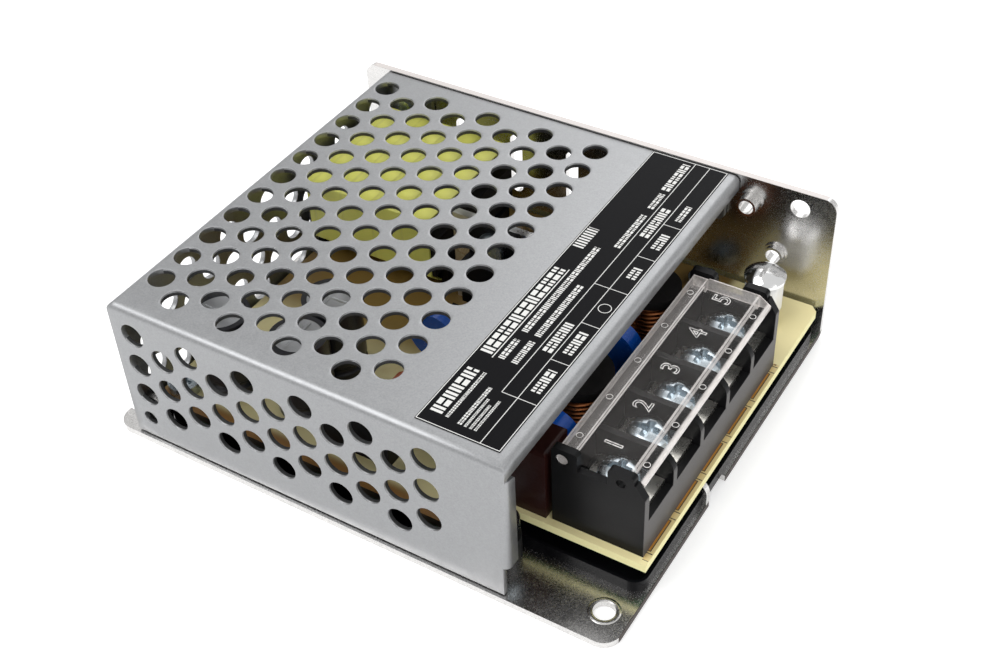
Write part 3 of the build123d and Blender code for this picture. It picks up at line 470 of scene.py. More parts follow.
@dataclass(frozen=True)
class ClearMoulding:
    """Clear moulded plastic whose edges and ribs catch the light as pale lines.

    Each line has its place along X, its half width and its strength. The share of pale plastic
    is also raised behind the rail's place and past the two ends along Y, as painted highlights too.
    """

    name: str
    lines: tuple[Triple, ...]
    rail: float
    ends: Pair
    rail_share: float = 0.10
    end_shares: Pair = (0.25, 0.55)
    colour: Triple = (0.84, 0.79, 0.76)
    haze: float = 0.02
    most: float = 0.85

    def material(self) -> Material:
        """The clear plastic as a material, with its pale lines at set places along X.

        Returns:
            The material.
        """
        graph = Graph(self.name)
        x, y, _ = graph.axes()
        flow = graph.noise(5.0, 2.0, (1.0, 0.3, 1.0))
        fleck = graph.noise(0.45, 3.0, (1.0, 0.25, 1.0))
        near, far = self.ends
        share = (x < self.rail) * self.rail_share
        share = share + (y > far) * self.end_shares[1] + (y < near) * self.end_shares[0]
        for place, half, strength in self.lines:
            share = share + (1 - abs(x - place).ramp(half * 0.4, half)) * strength
        share = share * (0.55 + fleck * 0.9) + fleck.ramp(0.64, 0.8) * 0.10 + self.haze
        return graph.finish(
            Base_Color=self.colour,
            Roughness=0.10 + (flow - 0.5) * 0.08,
            Specular_IOR_Level=0.9,
            Alpha=share.low(self.most),
            Normal=graph.bump(flow, 0.02),
        )


@dataclass(frozen=True)
class FrostedStroke:
    """The pale look of a narrow raised stroke in clear plastic, whose sides catch the light."""

    name: str
    colour: Triple = (0.80, 0.78, 0.76)

    def material(self) -> Material:
        """The stroke as a material, a little uneven along its length.

        Returns:
            The material.
        """
        graph = Graph(self.name)
        uneven = graph.noise(0.7, 2.0)
        dark = scaled(self.colour, 0.45)
        return graph.finish(
            Base_Color=graph.blend(dark, self.colour, uneven.ramp(0.3, 0.6)),
            Roughness=0.2 + uneven * 0.1,
            Normal=graph.bump(uneven, 0.02),
        )


@dataclass(frozen=True)
class BoardLaminate:
    """A printed board: cream top, rough cut edge and green underside, with marks at its front.

    Ahead of and nearer than its open corner the board is cream; under the cover it is darker and
    along the cover's near wall brown, with a dark cut edge there, all painted shade. Each pole has
    a pad in the front strip, with a thin line behind it, lines at its ends and two ticks beside it.
    """

    name: str
    top: float
    under: float
    front: float
    poles: tuple[float, ...]
    cream: Triple = (0.92, 0.82, 0.44)
    amber: Triple = (0.66, 0.42, 0.12)
    edge: Triple = (0.88, 0.76, 0.40)
    edge_light: Triple = (1.0, 0.988, 0.52)
    green: Triple = (0.06, 0.20, 0.09)
    pad: Triple = (0.50, 0.22, 0.03)
    # painted shade: the board under the cover, along the cover's near wall, and its cut edge there
    shade: Triple = (0.24, 0.15, 0.04)
    lacquer: Triple = (0.40, 0.20, 0.055)
    dark_edge: Triple = (0.03, 0.02, 0.01)
    ink: Triple = (0.02, 0.018, 0.012)
    open_corner: Pair = (31.0, -2.0)
    near_strip: float = -33.0
    strip: float = 1.1
    strip_reach: float = 0.62
    pad_shift: float = 0.35
    pad_half: float = 3.5
    pad_inset: float = 0.36
    line_inset: float = 0.42
    line_half: float = 0.08
    tick_place: float = 3.98
    tick_half: float = 0.09
    tick_inset: float = 0.12

    def material(self) -> Material:
        """The board as a material, its marks placed from the poles of the terminal block.

        Returns:
            The material.
        """
        graph = Graph(self.name)
        x, y, z = graph.axes()
        fibre = graph.noise(0.5, 3.0, (1.0, 0.4, 1.0))
        cloud = graph.noise(7.0, 3.0)
        forward, nearer = (x - self.open_corner[0]) * 0.5, self.open_corner[1] - y
        in_front = forward.ramp(0.0, 1.0)
        # painted shade under the cover and along its near wall, on the top and the cut edge; the
        # board is cream only where lit
        wall_shadow = ((self.near_strip - y) * 0.4).ramp(0.0, 1.0) * (1 - in_front)
        lit_share = in_front.high((nearer * 0.1).ramp(0.0, 1.0)) * (1 - wall_shadow)
        ground = graph.blend(self.shade, self.cream, lit_share)
        ground = graph.blend(ground, self.lacquer, wall_shadow)
        ground = graph.blend(ground, self.amber, (cloud - 0.62) * 1.5 + (fibre - 0.5) * 0.25)
        rough_cut = graph.noise(0.28, 4.0, (1, 1, 3))
        cut = graph.blend(self.edge, self.edge_light, rough_cut)
        cut = graph.blend(cut, self.dark_edge, wall_shadow)
        is_top = z.ramp(self.top - 0.06, self.top - 0.02)
        is_under = 1 - z.ramp(self.under + 0.02, self.under + 0.06)
        inset = self.front - x
        marked = is_top * self._in_strip(y, inset)
        pad, drawn = self._marks(y, inset)
        warm = (1 - inset.ramp(0.0, self.strip)) * 0.35 + 0.3
        colour = graph.blend(cut, ground, is_top)
        colour = graph.blend(colour, self.amber, marked * (1 - warm))
        colour = graph.blend(colour, self.pad, marked * pad)
        colour = graph.blend(colour, self.ink, marked * drawn)
        colour = graph.blend(colour, self.green, is_under)
        shine = 0.42 + (cloud - 0.5) * 0.1 - is_under * 0.2 + (1 - is_top) * 0.2
        return graph.finish(
            Base_Color=colour, Roughness=shine.high(0.1), Normal=graph.bump(fibre, 0.03)
        )

    def _in_strip(self, y: Value, inset: Value) -> Value:
        """1 in the strip along the front edge, from before the first pole to past the last.

        Args:
            y: the place along Y.
            inset: the distance behind the front edge.

        Returns:
            1 in the strip and 0 outside it.
        """
        reach = (self.poles[1] - self.poles[0]) * self.strip_reach
        return (
            (inset < self.strip) * (y > self.poles[0] - reach) * (y < self.poles[-1] + reach)
        )

    def _marks(self, y: Value, inset: Value) -> tuple[Value, Value]:
        """The front strip's marks, which repeat with the poles.

        Args:
            y: the place along Y.
            inset: the distance from the front edge.

        Returns:
            1 on the pads, and 1 on the drawn lines.
        """
        across = (y - self.poles[0] + self.pad_shift).repeat(self.poles[1] - self.poles[0])
        behind = self.strip - self.line_inset
        pad = (across < self.pad_half) * (inset > self.strip - self.pad_inset)
        line = abs(inset - behind) < self.line_half
        line = line * (across < self.pad_half + self.line_half)
        ends = (abs(across - self.pad_half) < self.line_half) * (inset > behind)
        ticks = (abs(across - self.tick_place) < self.tick_half) * (inset > self.tick_inset)
        return pad, (line + ends + ticks).low(1.0)


@dataclass(frozen=True)
class PrintBar:
    """A line of print drawn as a bar: its two ends along Y, its middle along X and its height."""

    start: float
    end: float
    middle: float
    height: float


@dataclass(frozen=True)
class PrintedLabel:
    """A matt black film with a thin white border, table lines and bars of plain blocks.

    A divider is a line along X and a row is a line along Y; each has its place and its start.
    """

    name: str
    centre: Pair
    size: Pair
    bars: tuple[PrintBar, ...]
    stripes: PrintBar
    underline: PrintBar
    dividers: tuple[Pair, ...]
    rows: tuple[Pair, ...]
    ring: Triple
    film: Triple = (0.005, 0.005, 0.006)
    print_colour: Triple = (0.74, 0.74, 0.72)
    border: Pair = (0.10, 0.24)
    line: float = 0.065
    stripe_pitch: float = 0.7
    stripe_gap: float = 0.16
    block_share: float = 0.8
    gap_share: float = 0.11
    slit_start: float = 0.42
    cut_share: float = 0.09
    slit_chance: float = 0.45
    cut_chance: float = 0.7

    def material(self) -> Material:
        """The label as a material, drawn in millimetres on the object.

        Returns:
            The material.
        """
        graph = Graph(self.name)
        x, y, _ = graph.axes()
        half_x, half_y = self.size[0] / 2, self.size[1] / 2
        inset = (half_x - abs(x - self.centre[0])).low(half_y - abs(y - self.centre[1]))
        inside = inset > self.border[0]
        drawn = inside * (inset < self.border[1])
        for place, start in self.dividers:
            drawn = drawn.high((abs(y - place) < self.line) * (x > start))
        for place, start in self.rows:
            drawn = drawn.high((abs(x - place) < self.line) * (y > start))
        ring_x, ring_y, radius = self.ring
        off_x, off_y = x - ring_x, y - ring_y
        away = (off_x * off_x + off_y * off_y).root()
        drawn = drawn.high(abs(away - radius) < self.line)
        drawn = drawn.high(self._box(x, y, self.underline))
        stripe = y.repeat(self.stripe_pitch) > self.stripe_gap
        drawn = drawn.high(self._box(x, y, self.stripes) * stripe)
        for bar in self.bars:
            drawn = drawn.high(self._box(x, y, bar) * self._blocks(graph, x, y, bar))
        drawn = drawn * inside
        grain = graph.noise(0.3, 2.0)
        return graph.finish(
            Base_Color=graph.blend(self.film, self.print_colour, drawn),
            Roughness=0.42 + (grain - 0.5) * 0.2,
            Specular_IOR_Level=0.05,
            Normal=graph.bump(grain, 0.004),
        )

    def _blocks(self, graph: Graph, x: Value, y: Value, bar: PrintBar) -> Value:
        """Breaks a bar into upright blocks, each slit across its middle or along it.

        Args:
            graph: the label's nodes.
            x: the place along X.
            y: the place along Y.
            bar: the bar.

        Returns:
            1 on the blocks and 0 in their gaps and slits.
        """
        pitch = bar.height * self.block_share
        run = y - bar.start
        seed = run.step(pitch) + bar.middle
        chance = graph.node("ShaderNodeTexWhiteNoise", {"noise_dimensions": "1D"}, {"W": seed})
        away = run.repeat(pitch)
        gap = away < pitch * self.gap_share
        slit = (away > pitch * self.slit_start) * (chance > self.slit_chance)
        cut = (abs(x - bar.middle) < bar.height * self.cut_share) * (chance < self.cut_chance)
        return 1 - gap.high(slit).high(cut)

    def _box(self, x: Value, y: Value, bar: PrintBar) -> Value:
        """1 inside a bar and 0 outside it."""
        middle, half = (bar.start + bar.end) / 2, (bar.end - bar.start) / 2
        return (abs(x - bar.middle) < bar.height / 2) * (abs(y - middle) < half)


@dataclass(frozen=True)
class CanSleeve:
    """A capacitor's black sleeve, open over the bright scored top of its can."""

    name: str
    centres: tuple[Pair, ...]
    radius: float
    top: float
    sleeve: Triple = (0.015, 0.015, 0.02)
    can: Triple = (0.55, 0.56, 0.58)

    def material(self) -> Material:
        """The sleeved can as a material, placed on each can's own centre.

        Returns:
            The material.
        """
        graph = Graph(self.name)
        x, y, z = graph.axes()
        near, score = None, None
        for place_x, place_y in self.centres:
            off_x, off_y = x - place_x, y - place_y
            away = (off_x * off_x + off_y * off_y).root()
            groove = abs(off_x).low(abs(off_y)) + (away > self.radius * 0.7) * 9
            near = away if near is None else near.low(away)
            score = groove if score is None else score.low(groove)
        bare = (1 - near.ramp(self.radius - 1.0, self.radius - 0.9)) * (z > self.top - 0.3)
        grain = graph.noise(0.3, 2.0)
        colour = graph.blend(self.sleeve, self.can, bare)
        height = grain * 0.2 + score.ramp(0.12, 0.3) * bare
        return graph.finish(
            Base_Color=colour,
            Metallic=bare,
            Roughness=0.3 + (grain - 0.5) * 0.1,
            Normal=graph.bump(height, 0.15),
        )


@dataclass(frozen=True)
class WrappedTape:
    """Thin tape with overlapping turns and the faint lines of what lies under it."""

    name: str
    colour: Triple = (0.88, 0.88, 0.20)
    turn: float = 6.5

    def material(self) -> Material:
        """The tape as a material.

        Returns:
            The material.
        """
        graph = Graph(self.name)
        x, _, _ = graph.axes()
        lap = x.repeat(self.turn)
        wrinkle = graph.noise(3.0, 3.0, (0.3, 1.0, 1.0))
        deep = scaled(self.colour, 0.85)
        colour = graph.blend(deep, self.colour, lap.ramp(0.0, 0.5) * 0.6 + wrinkle * 0.6)
        return graph.finish(
            Base_Color=colour,
            Roughness=0.32 + (wrinkle - 0.5) * 0.15,
            Normal=graph.bump(wrinkle * 0.6 + lap.ramp(0.0, 0.15) * 0.4, 0.12),
        )


def grid_faces(rows: int, columns: int) -> np.ndarray:
    """Quads over a grid of points stored row by row, as four point numbers each."""
    corner = (np.arange(rows - 1)[:, None] * columns + np.arange(columns - 1)[None, :]).ravel()
    return np.stack([corner, corner + 1, corner + columns + 1, corner + columns], axis=1)


def level_row(places: np.ndarray, height: float) -> np.ndarray:
    """Points of a wall's outline that lie side by side at one height."""
    return np.stack([places, np.full_like(places, height)], 1)


def upright_row(place: float, heights: np.ndarray) -> np.ndarray:
    """Points of a wall's outline that lie above one another at one place."""
    return np.stack([np.full_like(heights, place), heights], 1)


def ring_grid(
    centre: Pair, radius: np.ndarray, angle: np.ndarray, height: np.ndarray
) -> np.ndarray:
    """Points at a radius times (cos a, sin a) from an upright axis, each at its height."""
    x, y = centre[0] + radius * np.cos(angle), centre[1] + radius * np.sin(angle)
    return np.stack([x, y, height], -1)


def linked(name: str, data: bpy.types.ID) -> Piece:
    """Links new data to the scene.

    Args:
        name: the object's name.
        data: its mesh, curve, camera or light.

    Returns:
        The object.
    """
    made = bpy.data.objects.new(name, data)
    bpy.context.scene.collection.objects.link(made)
    return made


@dataclass
class Sheet:
    """A mesh under construction: surfaces are added as whole arrays and merged at the end."""

    points: list[np.ndarray] = field(default_factory=list)
    faces: list[list[int]] = field(default_factory=list)
    count: int = 0

    def add(self, points: np.ndarray, faces: np.ndarray | list[list[int]]) -> None:
        """Adds one surface.

        Args:
            points: an array of points in millimetres.
            faces: the point numbers of each face, counted from this surface's first point.
        """
        flat = points.reshape(-1, 3)
        self.points.append(flat)
        self.faces += [[int(n) + self.count for n in face] for face in faces]
        self.count += len(flat)

    def add_grid(self, grid: np.ndarray, flip: bool = False) -> None:
        """Adds a grid of points with one quad in each cell."""
        quads = grid_faces(grid.shape[0], grid.shape[1])
        self.add(grid, quads[:, ::-1] if flip else quads)

    def piece(self, name: str, material: Material, smooth: float = 35.0) -> Piece:
        """The finished object, with its doubles merged.

        Args:
            name: the piece's name.
            material: its finish.
            smooth: the angle in degrees up to which edges are shaded smooth.

        Returns:
            The object, linked to the scene.
        """
        mesh = bpy.data.meshes.new(name)
        mesh.from_pydata((np.concatenate(self.points) * MM).tolist(), [], self.faces)
        work = bmesh.new()
        work.from_mesh(mesh)
        bmesh.ops.remove_doubles(work, verts=work.verts, dist=2e-6)
        bmesh.ops.dissolve_degenerate(work, edges=work.edges, dist=1e-7)
        bmesh.ops.recalc_face_normals(work, faces=work.faces)
        work.faces.ensure_lookup_table()
        top = max(work.faces, key=lambda face: face.calc_center_median().z)
        if top.normal.z < -0.01:
            bmesh.ops.reverse_faces(work, faces=work.faces)
        work.to_mesh(mesh)
        work.free()
        mesh.materials.append(material)
        made = linked(name, mesh)
        made["smooth_angle"] = smooth
        return made

    def finished(self, name: str, material: Material, smooth: float) -> Piece:
        """The finished object with its shading applied.

        Args:
            name: the piece's name.
            material: its finish.
            smooth: the angle in degrees past which its edges are sharp.

        Returns:
            The object, with nothing left to apply.
        """
        made = self.piece(name, material, smooth)
        apply_modifiers(made)
        return made


def add_modifier(made: Piece, kind: str, **settings: object) -> None:
    """Adds one modifier with its settings.

    Args:
        made: the object.
        kind: the modifier's type.
        settings: its attributes.
    """
    modifier = made.modifiers.new(kind.lower(), kind)
    for key, setting in settings.items():
        setattr(modifier, key, setting)


def apply_modifiers(made: Piece) -> None:
    """Puts the modifiers' result into the object's own mesh, with edges sharp past its angle.

    Args:
        made: the object.
    """
    shape = made.evaluated_get(bpy.context.evaluated_depsgraph_get())
    mesh = bpy.data.meshes.new_from_object(shape)
    made.modifiers.clear()
    made.data = mesh
    mesh.shade_smooth()
    mesh.set_sharp_from_angle(angle=math.radians(made["smooth_angle"]))


def turned(profile: np.ndarray, centre: Pair, around: int = 48) -> np.ndarray:
    """A surface of revolution about an upright axis.

    Args:
        profile: radius and height pairs in millimetres, from the bottom up and outside first.
        centre: the axis in X and Y.
        around: the number of steps around.

    Returns:
        The grid of points, with a row for each pair of the profile.
    """
    angle = np.linspace(0, 2 * np.pi, around + 1)[None, :]
    height = np.repeat(profile[:, 1][:, None], around + 1, axis=1)
    return ring_grid(centre, profile[:, 0][:, None], angle, height)


@dataclass
class VentLattice:
    """Round holes in staggered columns, meshed as rectangular cells that share their edges."""

    columns: int
    rows: int
    pitch: float
    radius: float
    side_steps: int = 8
    end_steps: int = 6
    inner_ring: float = 0.35
    open_end: bool = False

    @property
    def column_pitch(self) -> float:
        """The distance between columns: the pitch times half the root of 3."""
        return self.pitch * math.sqrt(3) / 2

    @property
    def half_size(self) -> Pair:
        """Half the width across the columns and half the height along them."""
        return self.columns * self.column_pitch / 2, (self.rows + 0.5) * self.pitch / 2

    def breaks(self) -> tuple[np.ndarray, np.ndarray]:
        """The places of the outer edge's points, across the columns and along them.

        Returns:
            The places across and the places along, from the lattice's centre.
        """
        half_u, half_v = self.half_size
        across = np.linspace(-half_u, half_u, self.columns * self.end_steps + 1)
        along = np.linspace(-half_v, half_v, int((self.rows + 0.5) * self.side_steps) + 1)
        return across, along

    def cell_rings(self) -> np.ndarray:
        """Rings of points from the hole's edge out to the cell's rectangle.

        Returns:
            Rings, points and two coordinates. Each ring lies between the circle and the rectangle,
            point by point, along the ray through the cell's centre.
        """
        half_w, half_p = self.column_pitch / 2, self.pitch / 2
        u = np.linspace(-half_w, half_w, self.end_steps + 1)[:-1]
        v = np.linspace(-half_p, half_p, self.side_steps + 1)[:-1]
        outline = np.concatenate(
            [
                level_row(u, -half_p),
                upright_row(half_w, v),
                level_row(-u, half_p),
                upright_row(-half_w, -v),
            ]
        )
        circle = outline / np.linalg.norm(outline, axis=1, keepdims=True) * self.radius
        share = np.array([0.0, self.inner_ring, 1.0])[:, None, None]
        return circle[None] * (1 - share) + outline[None] * share

    def surface(self) -> tuple[np.ndarray, np.ndarray]:
        """All cells and the half cells that fill the ends of the columns.

        With an open end, the first column's half cell is left out.

        Returns:
            The flat points and the quads.
        """
        rings = self.cell_rings()
        steps, around = rings.shape[:2]
        column, row = np.meshgrid(np.arange(self.columns), np.arange(self.rows), indexing="ij")
        shift = np.where(column % 2 == 0, 1, -1) * self.pitch / 4
        centre_u = (column - (self.columns - 1) / 2) * self.column_pitch
        centre_v = (row - (self.rows - 1) / 2) * self.pitch + shift
        centres = np.stack([centre_u, centre_v], -1).reshape(-1, 1, 1, 2)
        points = (centres + rings[None]).reshape(-1, 2)
        index = np.arange(around)
        following = (index + 1) % around
        ring = np.concatenate(
            [
                np.stack(
                    [
                        k * around + index,
                        (k + 1) * around + index,
                        (k + 1) * around + following,
                        k * around + following,
                    ],
                    1,
                )
                for k in range(steps - 1)
            ]
        )
        cells = np.arange(len(centres)) * steps * around
        quads = (cells[:, None, None] + ring[None]).reshape(-1, 4)
        half_steps = self.side_steps // 2
        fill_u = np.linspace(-self.column_pitch / 2, self.column_pitch / 2, self.end_steps + 1)
        fill_v = np.linspace(0, self.pitch / 2, half_steps + 1)
        half_v = self.half_size[1]
        numbers = np.arange(1 if self.open_end else 0, self.columns)
        low = np.where(numbers % 2 == 0, -half_v, half_v - self.pitch / 2)
        middle = (numbers - (self.columns - 1) / 2) * self.column_pitch
        grid_u = middle[:, None, None] + fill_u[None, :, None] + 0 * fill_v[None, None, :]
        grid_v = low[:, None, None] + fill_v[None, None, :] + 0 * fill_u[None, :, None]
        fill = np.stack([grid_u, grid_v], -1).reshape(-1, 2)
        block = (self.end_steps + 1) * (half_steps + 1)
        one = grid_faces(self.end_steps + 1, half_steps + 1)[:, ::-1]
        blocks = np.arange(len(numbers)) * block
        fill_quads = (blocks[:, None, None] + one[None]).reshape(-1, 4) + len(points)
        return np.concatenate([points, fill]), np.concatenate([quads, fill_quads])


@dataclass
class PerforatedCover:
    """The folded cover: top, near side wall, rear wall, front lip and return flange."""

    rear: float = -44.0
    front: float = 31.1
    near: float = -40.4
    far: float = 39.55
    top: float = 30.0
    bottom: float = 1.45
    gauge: float = 1.0
    bend: float = 1.3
    lip: float = 2.9
    relief: float = 0.3
    flange_low: float = 7.6
    flange_width: float = 2.9
    flange_slope: float = 1.1
    flange_bend: float = 1.2
    pitch: float = 6.54
    vent_radius: float = 2.29
    top_vents: tuple[int, int] = (9, 11)
    side_vents: tuple[int, int] = (11, 3)
    rear_vents: tuple[int, int] = (13, 3)
    top_centre: Pair = (-17.45, 0.0)
    side_centre: Pair = (-11.25, 16.5)
    rear_centre: Pair = (0.0, 16.5)
    small_hole: Triple = (-40.3, 5.7, 1.4)
    tabs: tuple[float, ...] = (-38.0, 24.0)
    tab_width: float = 10.0
    tab_drop: float = 9.0
    tab_hole: Pair = (25.0, 1.45)
    collar: Pair = (1.4, 2.2)
    sheared_break: float = 0.13
    cell_gap: float = 0.1
    split_gap: float = 1.0
    arc_steps: int = 6
    hole_steps: int = 16

    def build(self, material: Material) -> list[Piece]:
        """Makes the cover and its tabs.

        Args:
            material: the sheet's finish.

        Returns:
            The folded sheet and the two tabs with their threaded collars.
        """
        sheet = Sheet()
        top_breaks = self._top(sheet)
        self._bends(sheet, *top_breaks)
        self._near_wall(sheet, top_breaks[0])
        self._rear_wall(sheet, top_breaks[1])
        self._flange(sheet)
        folded = sheet.piece("cover_sheet", material)
        self._thicken(folded)
        return [folded, *(self._tab(x, material) for x in self.tabs)]

    def _thicken(self, made: Piece) -> None:
        """Gives the sheet its gauge inwards and breaks its sheared edges.

        Args:
            made: the sheet as a surface.
        """
        thickness, width = self.gauge * MM, self.sheared_break * MM
        add_modifier(made, "SOLIDIFY", thickness=thickness, offset=-1.0, use_even_offset=True)
        settings = {"segments": 2, "limit_method": "ANGLE", "angle_limit": 1.0}
        add_modifier(made, "BEVEL", width=width, **settings)
        apply_modifiers(made)

    def _arc(self) -> np.ndarray:
        """The fold's angle, from level to upright."""
        return np.linspace(0, np.pi / 2, self.arc_steps + 1)

    def _clear_of_fold(self, x: np.ndarray) -> np.ndarray:
        """Draws in the points behind the rearmost hole, so that its cell ends at the fold.

        Args:
            x: the points' places along X.

        Returns:
            The places, those behind the hole drawn in evenly.
        """
        columns, step = self.top_vents[0], self.pitch * math.sqrt(3) / 2
        hole_edge = self.top_centre[0] - (columns - 1) / 2 * step - self.vent_radius
        cell_edge = self.top_centre[0] - columns / 2 * step
        end = self.rear + self.bend + self.cell_gap
        share = (hole_edge - end) / (hole_edge - cell_edge)
        return np.where(x < hole_edge, hole_edge - (hole_edge - x) * share, x)

    def _top(self, sheet: Sheet) -> tuple[np.ndarray, np.ndarray]:
        """The flat top around its vents.

        Args:
            sheet: takes the top.

        Returns:
            The places along X and Y at which the folds share the top's points.
        """
        vents = VentLattice(*self.top_vents, self.pitch, self.vent_radius)
        flat, quads = vents.surface()
        centre_x, centre_y = self.top_centre
        heights = np.full(len(flat), self.top)
        flat_x = self._clear_of_fold(flat[:, 0] + centre_x)
        sheet.add(np.column_stack([flat_x, flat[:, 1] + centre_y, heights]), quads)
        across, along = vents.breaks()
        inner_x, inner_y = self._clear_of_fold(across + centre_x), along + centre_y
        left, right = self.rear + self.bend, self.front - self.bend
        near, far = self.near + self.bend, self.far
        x = np.concatenate([[left], inner_x, [right]])
        y = np.concatenate([[near], inner_y, [far]])
        for strip_x, strip_y in (
            (x, np.array([near, inner_y[0]])),
            (x, np.array([inner_y[-1], far])),
            (np.array([left, inner_x[0]]), inner_y),
            (np.array([inner_x[-1], right]), inner_y),
        ):
            grid = np.stack(np.meshgrid(strip_x, strip_y, indexing="ij"), -1)
            level = np.full(grid.shape[:2] + (1,), self.top)
            sheet.add_grid(np.concatenate([grid, level], -1), flip=True)
        return x, y

    def _bends(self, sheet: Sheet, x: np.ndarray, y: np.ndarray) -> None:
        """The three rounded folds under the top's edges, mitred where two of them meet.

        A fold's point at angle a lies one bend radius times (1 - sin a) in from the wall and
        (1 - cos a) down from the top, and the mitre draws its ends in by the same amount.

        Args:
            sheet: takes the folds.
            x: the places along X that the near fold shares with the top.
            y: the places along Y that the rear and front folds share with the top.
        """
        angle = self._arc()[None, :]
        inward = self.bend * (1 - np.sin(angle))
        height = self.top - self.bend * (1 - np.cos(angle))
        run_x = np.repeat(x[:, None], angle.shape[1], 1)
        run_x[0], run_x[-1] = self.rear + inward[0], self.front - inward[0]
        flat_z = np.broadcast_to(height, run_x.shape)
        near_y = np.broadcast_to(self.near + inward, run_x.shape)
        sheet.add_grid(np.stack([run_x, near_y, flat_z], -1))
        run_y = np.repeat(y[:, None], angle.shape[1], 1)
        run_y[0] = self.near + inward[0]
        flat_z = np.broadcast_to(height, run_y.shape)
        rear_x = np.broadcast_to(self.rear + inward, run_y.shape)
        sheet.add_grid(np.stack([rear_x, run_y, flat_z], -1), flip=True)
        front_x = np.broadcast_to(self.front - inward, run_y.shape)
        sheet.add_grid(np.stack([front_x, run_y, flat_z], -1))
        lip_z = np.array([self.top - self.bend, self.top - self.lip])
        lip_y, lip_grid = np.meshgrid(run_y[:, -1], lip_z, indexing="ij")
        sheet.add_grid(np.stack([np.full_like(lip_y, self.front), lip_y, lip_grid], -1))

    def _near_wall(self, sheet: Sheet, x: np.ndarray) -> None:
        """The near side wall: its vents, a small round hole, and flat margins around them.

        Args:
            sheet: takes the wall.
            x: the places along X that it shares with its fold.
        """
        vents = VentLattice(*self.side_vents, self.pitch, self.vent_radius, open_end=True)
        flat, quads = vents.surface()
        centre_x, centre_z = self.side_centre
        wall = np.full(len(flat), self.near)
        sheet.add(np.column_stack([flat[:, 0] + centre_x, wall, flat[:, 1] + centre_z]), quads)
        across, along = vents.breaks()
        vent_x, vent_z = across + centre_x, along + centre_z
        half_cell = vents.side_steps // 2
        first = vents.end_steps
        fold_x = x.copy()
        fold_x[0], fold_x[-1] = self.rear, self.front
        fold_z = self.top - self.bend
        edge = self.front - self.gauge
        flange_top = self.top - self.lip - self.relief
        start = self.front - self.flange_bend
        upper = [level_row(vent_x, vent_z[-1]), level_row(fold_x[::-1], fold_z)]
        right = [
            [[vent_x[-1], vent_z[0]], [edge, self.bottom], [edge, self.flange_low]],
            [[start, self.flange_low], [start, flange_top], [self.front, flange_top]],
            [[self.front, self.top - self.lip], [self.front, fold_z]],
            upright_row(vent_x[-1], vent_z)[::-1][:-1],
        ]
        rear_low, rear_high = [[self.rear, self.bottom]], [[self.rear, fold_z]]
        left = [rear_low, upright_row(vent_x[0], vent_z)[half_cell:], rear_high]
        for outline in (upper, right, left):
            self._polygon(sheet, np.concatenate(outline))
        stepped = np.concatenate(
            [
                level_row(vent_x, vent_z[0])[first:][::-1],
                upright_row(vent_x[first], vent_z)[1:half_cell],
                level_row(vent_x, vent_z[half_cell])[: first + 1][::-1],
            ]
        )
        self._around_hole(sheet, edge, stepped)

    def _polygon(self, sheet: Sheet, outline: np.ndarray) -> None:
        """One flat face of the near wall from its outline in X and Z."""
        points = np.insert(outline, 1, self.near, axis=1)
        sheet.add(points, [list(range(len(points)))])

    def _around_hole(self, sheet: Sheet, edge: float, stepped: np.ndarray) -> None:
        """The wall's lower margin, as two faces that meet at the small hole's level diameter.

        Args:
            sheet: the mesh under construction.
            edge: the wall's front edge along X.
            stepped: the vents' lower outline, from the front to the rear.
        """
        hole_x, hole_z, radius = self.small_hole
        angle = np.linspace(0, np.pi, self.hole_steps + 1)
        arc_x, rise = hole_x - radius * np.cos(angle), radius * np.sin(angle)
        split = [hole_x + radius + self.split_gap, self.bottom]
        rear_low = [self.rear, self.bottom]
        under = [[rear_low, split], np.stack([arc_x, hole_z - rise], 1)[::-1]]
        over = [[split, [edge, self.bottom]], stepped, [rear_low]]
        over.append(np.stack([arc_x, hole_z + rise], 1))
        self._polygon(sheet, np.concatenate(under))
        self._polygon(sheet, np.concatenate(over))

    def _rear_wall(self, sheet: Sheet, y: np.ndarray) -> None:
        """The rear wall and its vents.

        Args:
            sheet: takes the wall.
            y: the places along Y that it shares with its fold.
        """
        vents = VentLattice(*self.rear_vents, self.pitch, self.vent_radius)
        flat, quads = vents.surface()
        centre_y, centre_z = self.rear_centre
        wall = np.full(len(flat), self.rear)
        points = np.column_stack([wall, flat[:, 0] + centre_y, flat[:, 1] + centre_z])
        sheet.add(points, quads[:, ::-1])
        across, along = vents.breaks()
        vent_y, vent_z = across + centre_y, along + centre_z
        fold_y = y.copy()
        fold_y[0] = self.near
        fold_z = self.top - self.bend
        near_low, far_low = [self.near, self.bottom], [self.far, self.bottom]
        upper = [level_row(vent_y, vent_z[-1]), level_row(fold_y[::-1], fold_z)]
        right = [
            [[vent_y[-1], vent_z[0]], far_low, [self.far, fold_z]],
            upright_row(vent_y[-1], vent_z)[::-1][:-1],
        ]
        left = [[near_low], upright_row(vent_y[0], vent_z), [[self.near, fold_z]]]
        lower = [[near_low, far_low], level_row(vent_y, vent_z[0])[::-1]]
        for outline in (upper, right, left, lower):
            points = np.insert(np.concatenate(outline), 0, self.rear, axis=1)
            sheet.add(points, [list(range(len(points)))[::-1]])

    def _flange(self, sheet: Sheet) -> None:
        """The return flange: a quarter round fold and a flat, with a sloping mitred top.

        Args:
            sheet: takes the flange.
        """
        angle = self._arc()
        fold_x = self.front - self.flange_bend * (1 - np.sin(angle))
        fold_y = self.near + self.flange_bend * (1 - np.cos(angle))
        x = np.append(fold_x, self.front)
        y = np.append(fold_y, self.near + self.flange_width)
        share = (y - self.near) / self.flange_width
        high = self.top - self.lip - self.relief - self.flange_slope * share
        z = np.stack([np.full_like(high, self.flange_low), high], 1)
        grid = np.stack([np.repeat(x[:, None], 2, 1), np.repeat(y[:, None], 2, 1), z], -1)
        sheet.add_grid(grid, flip=True)

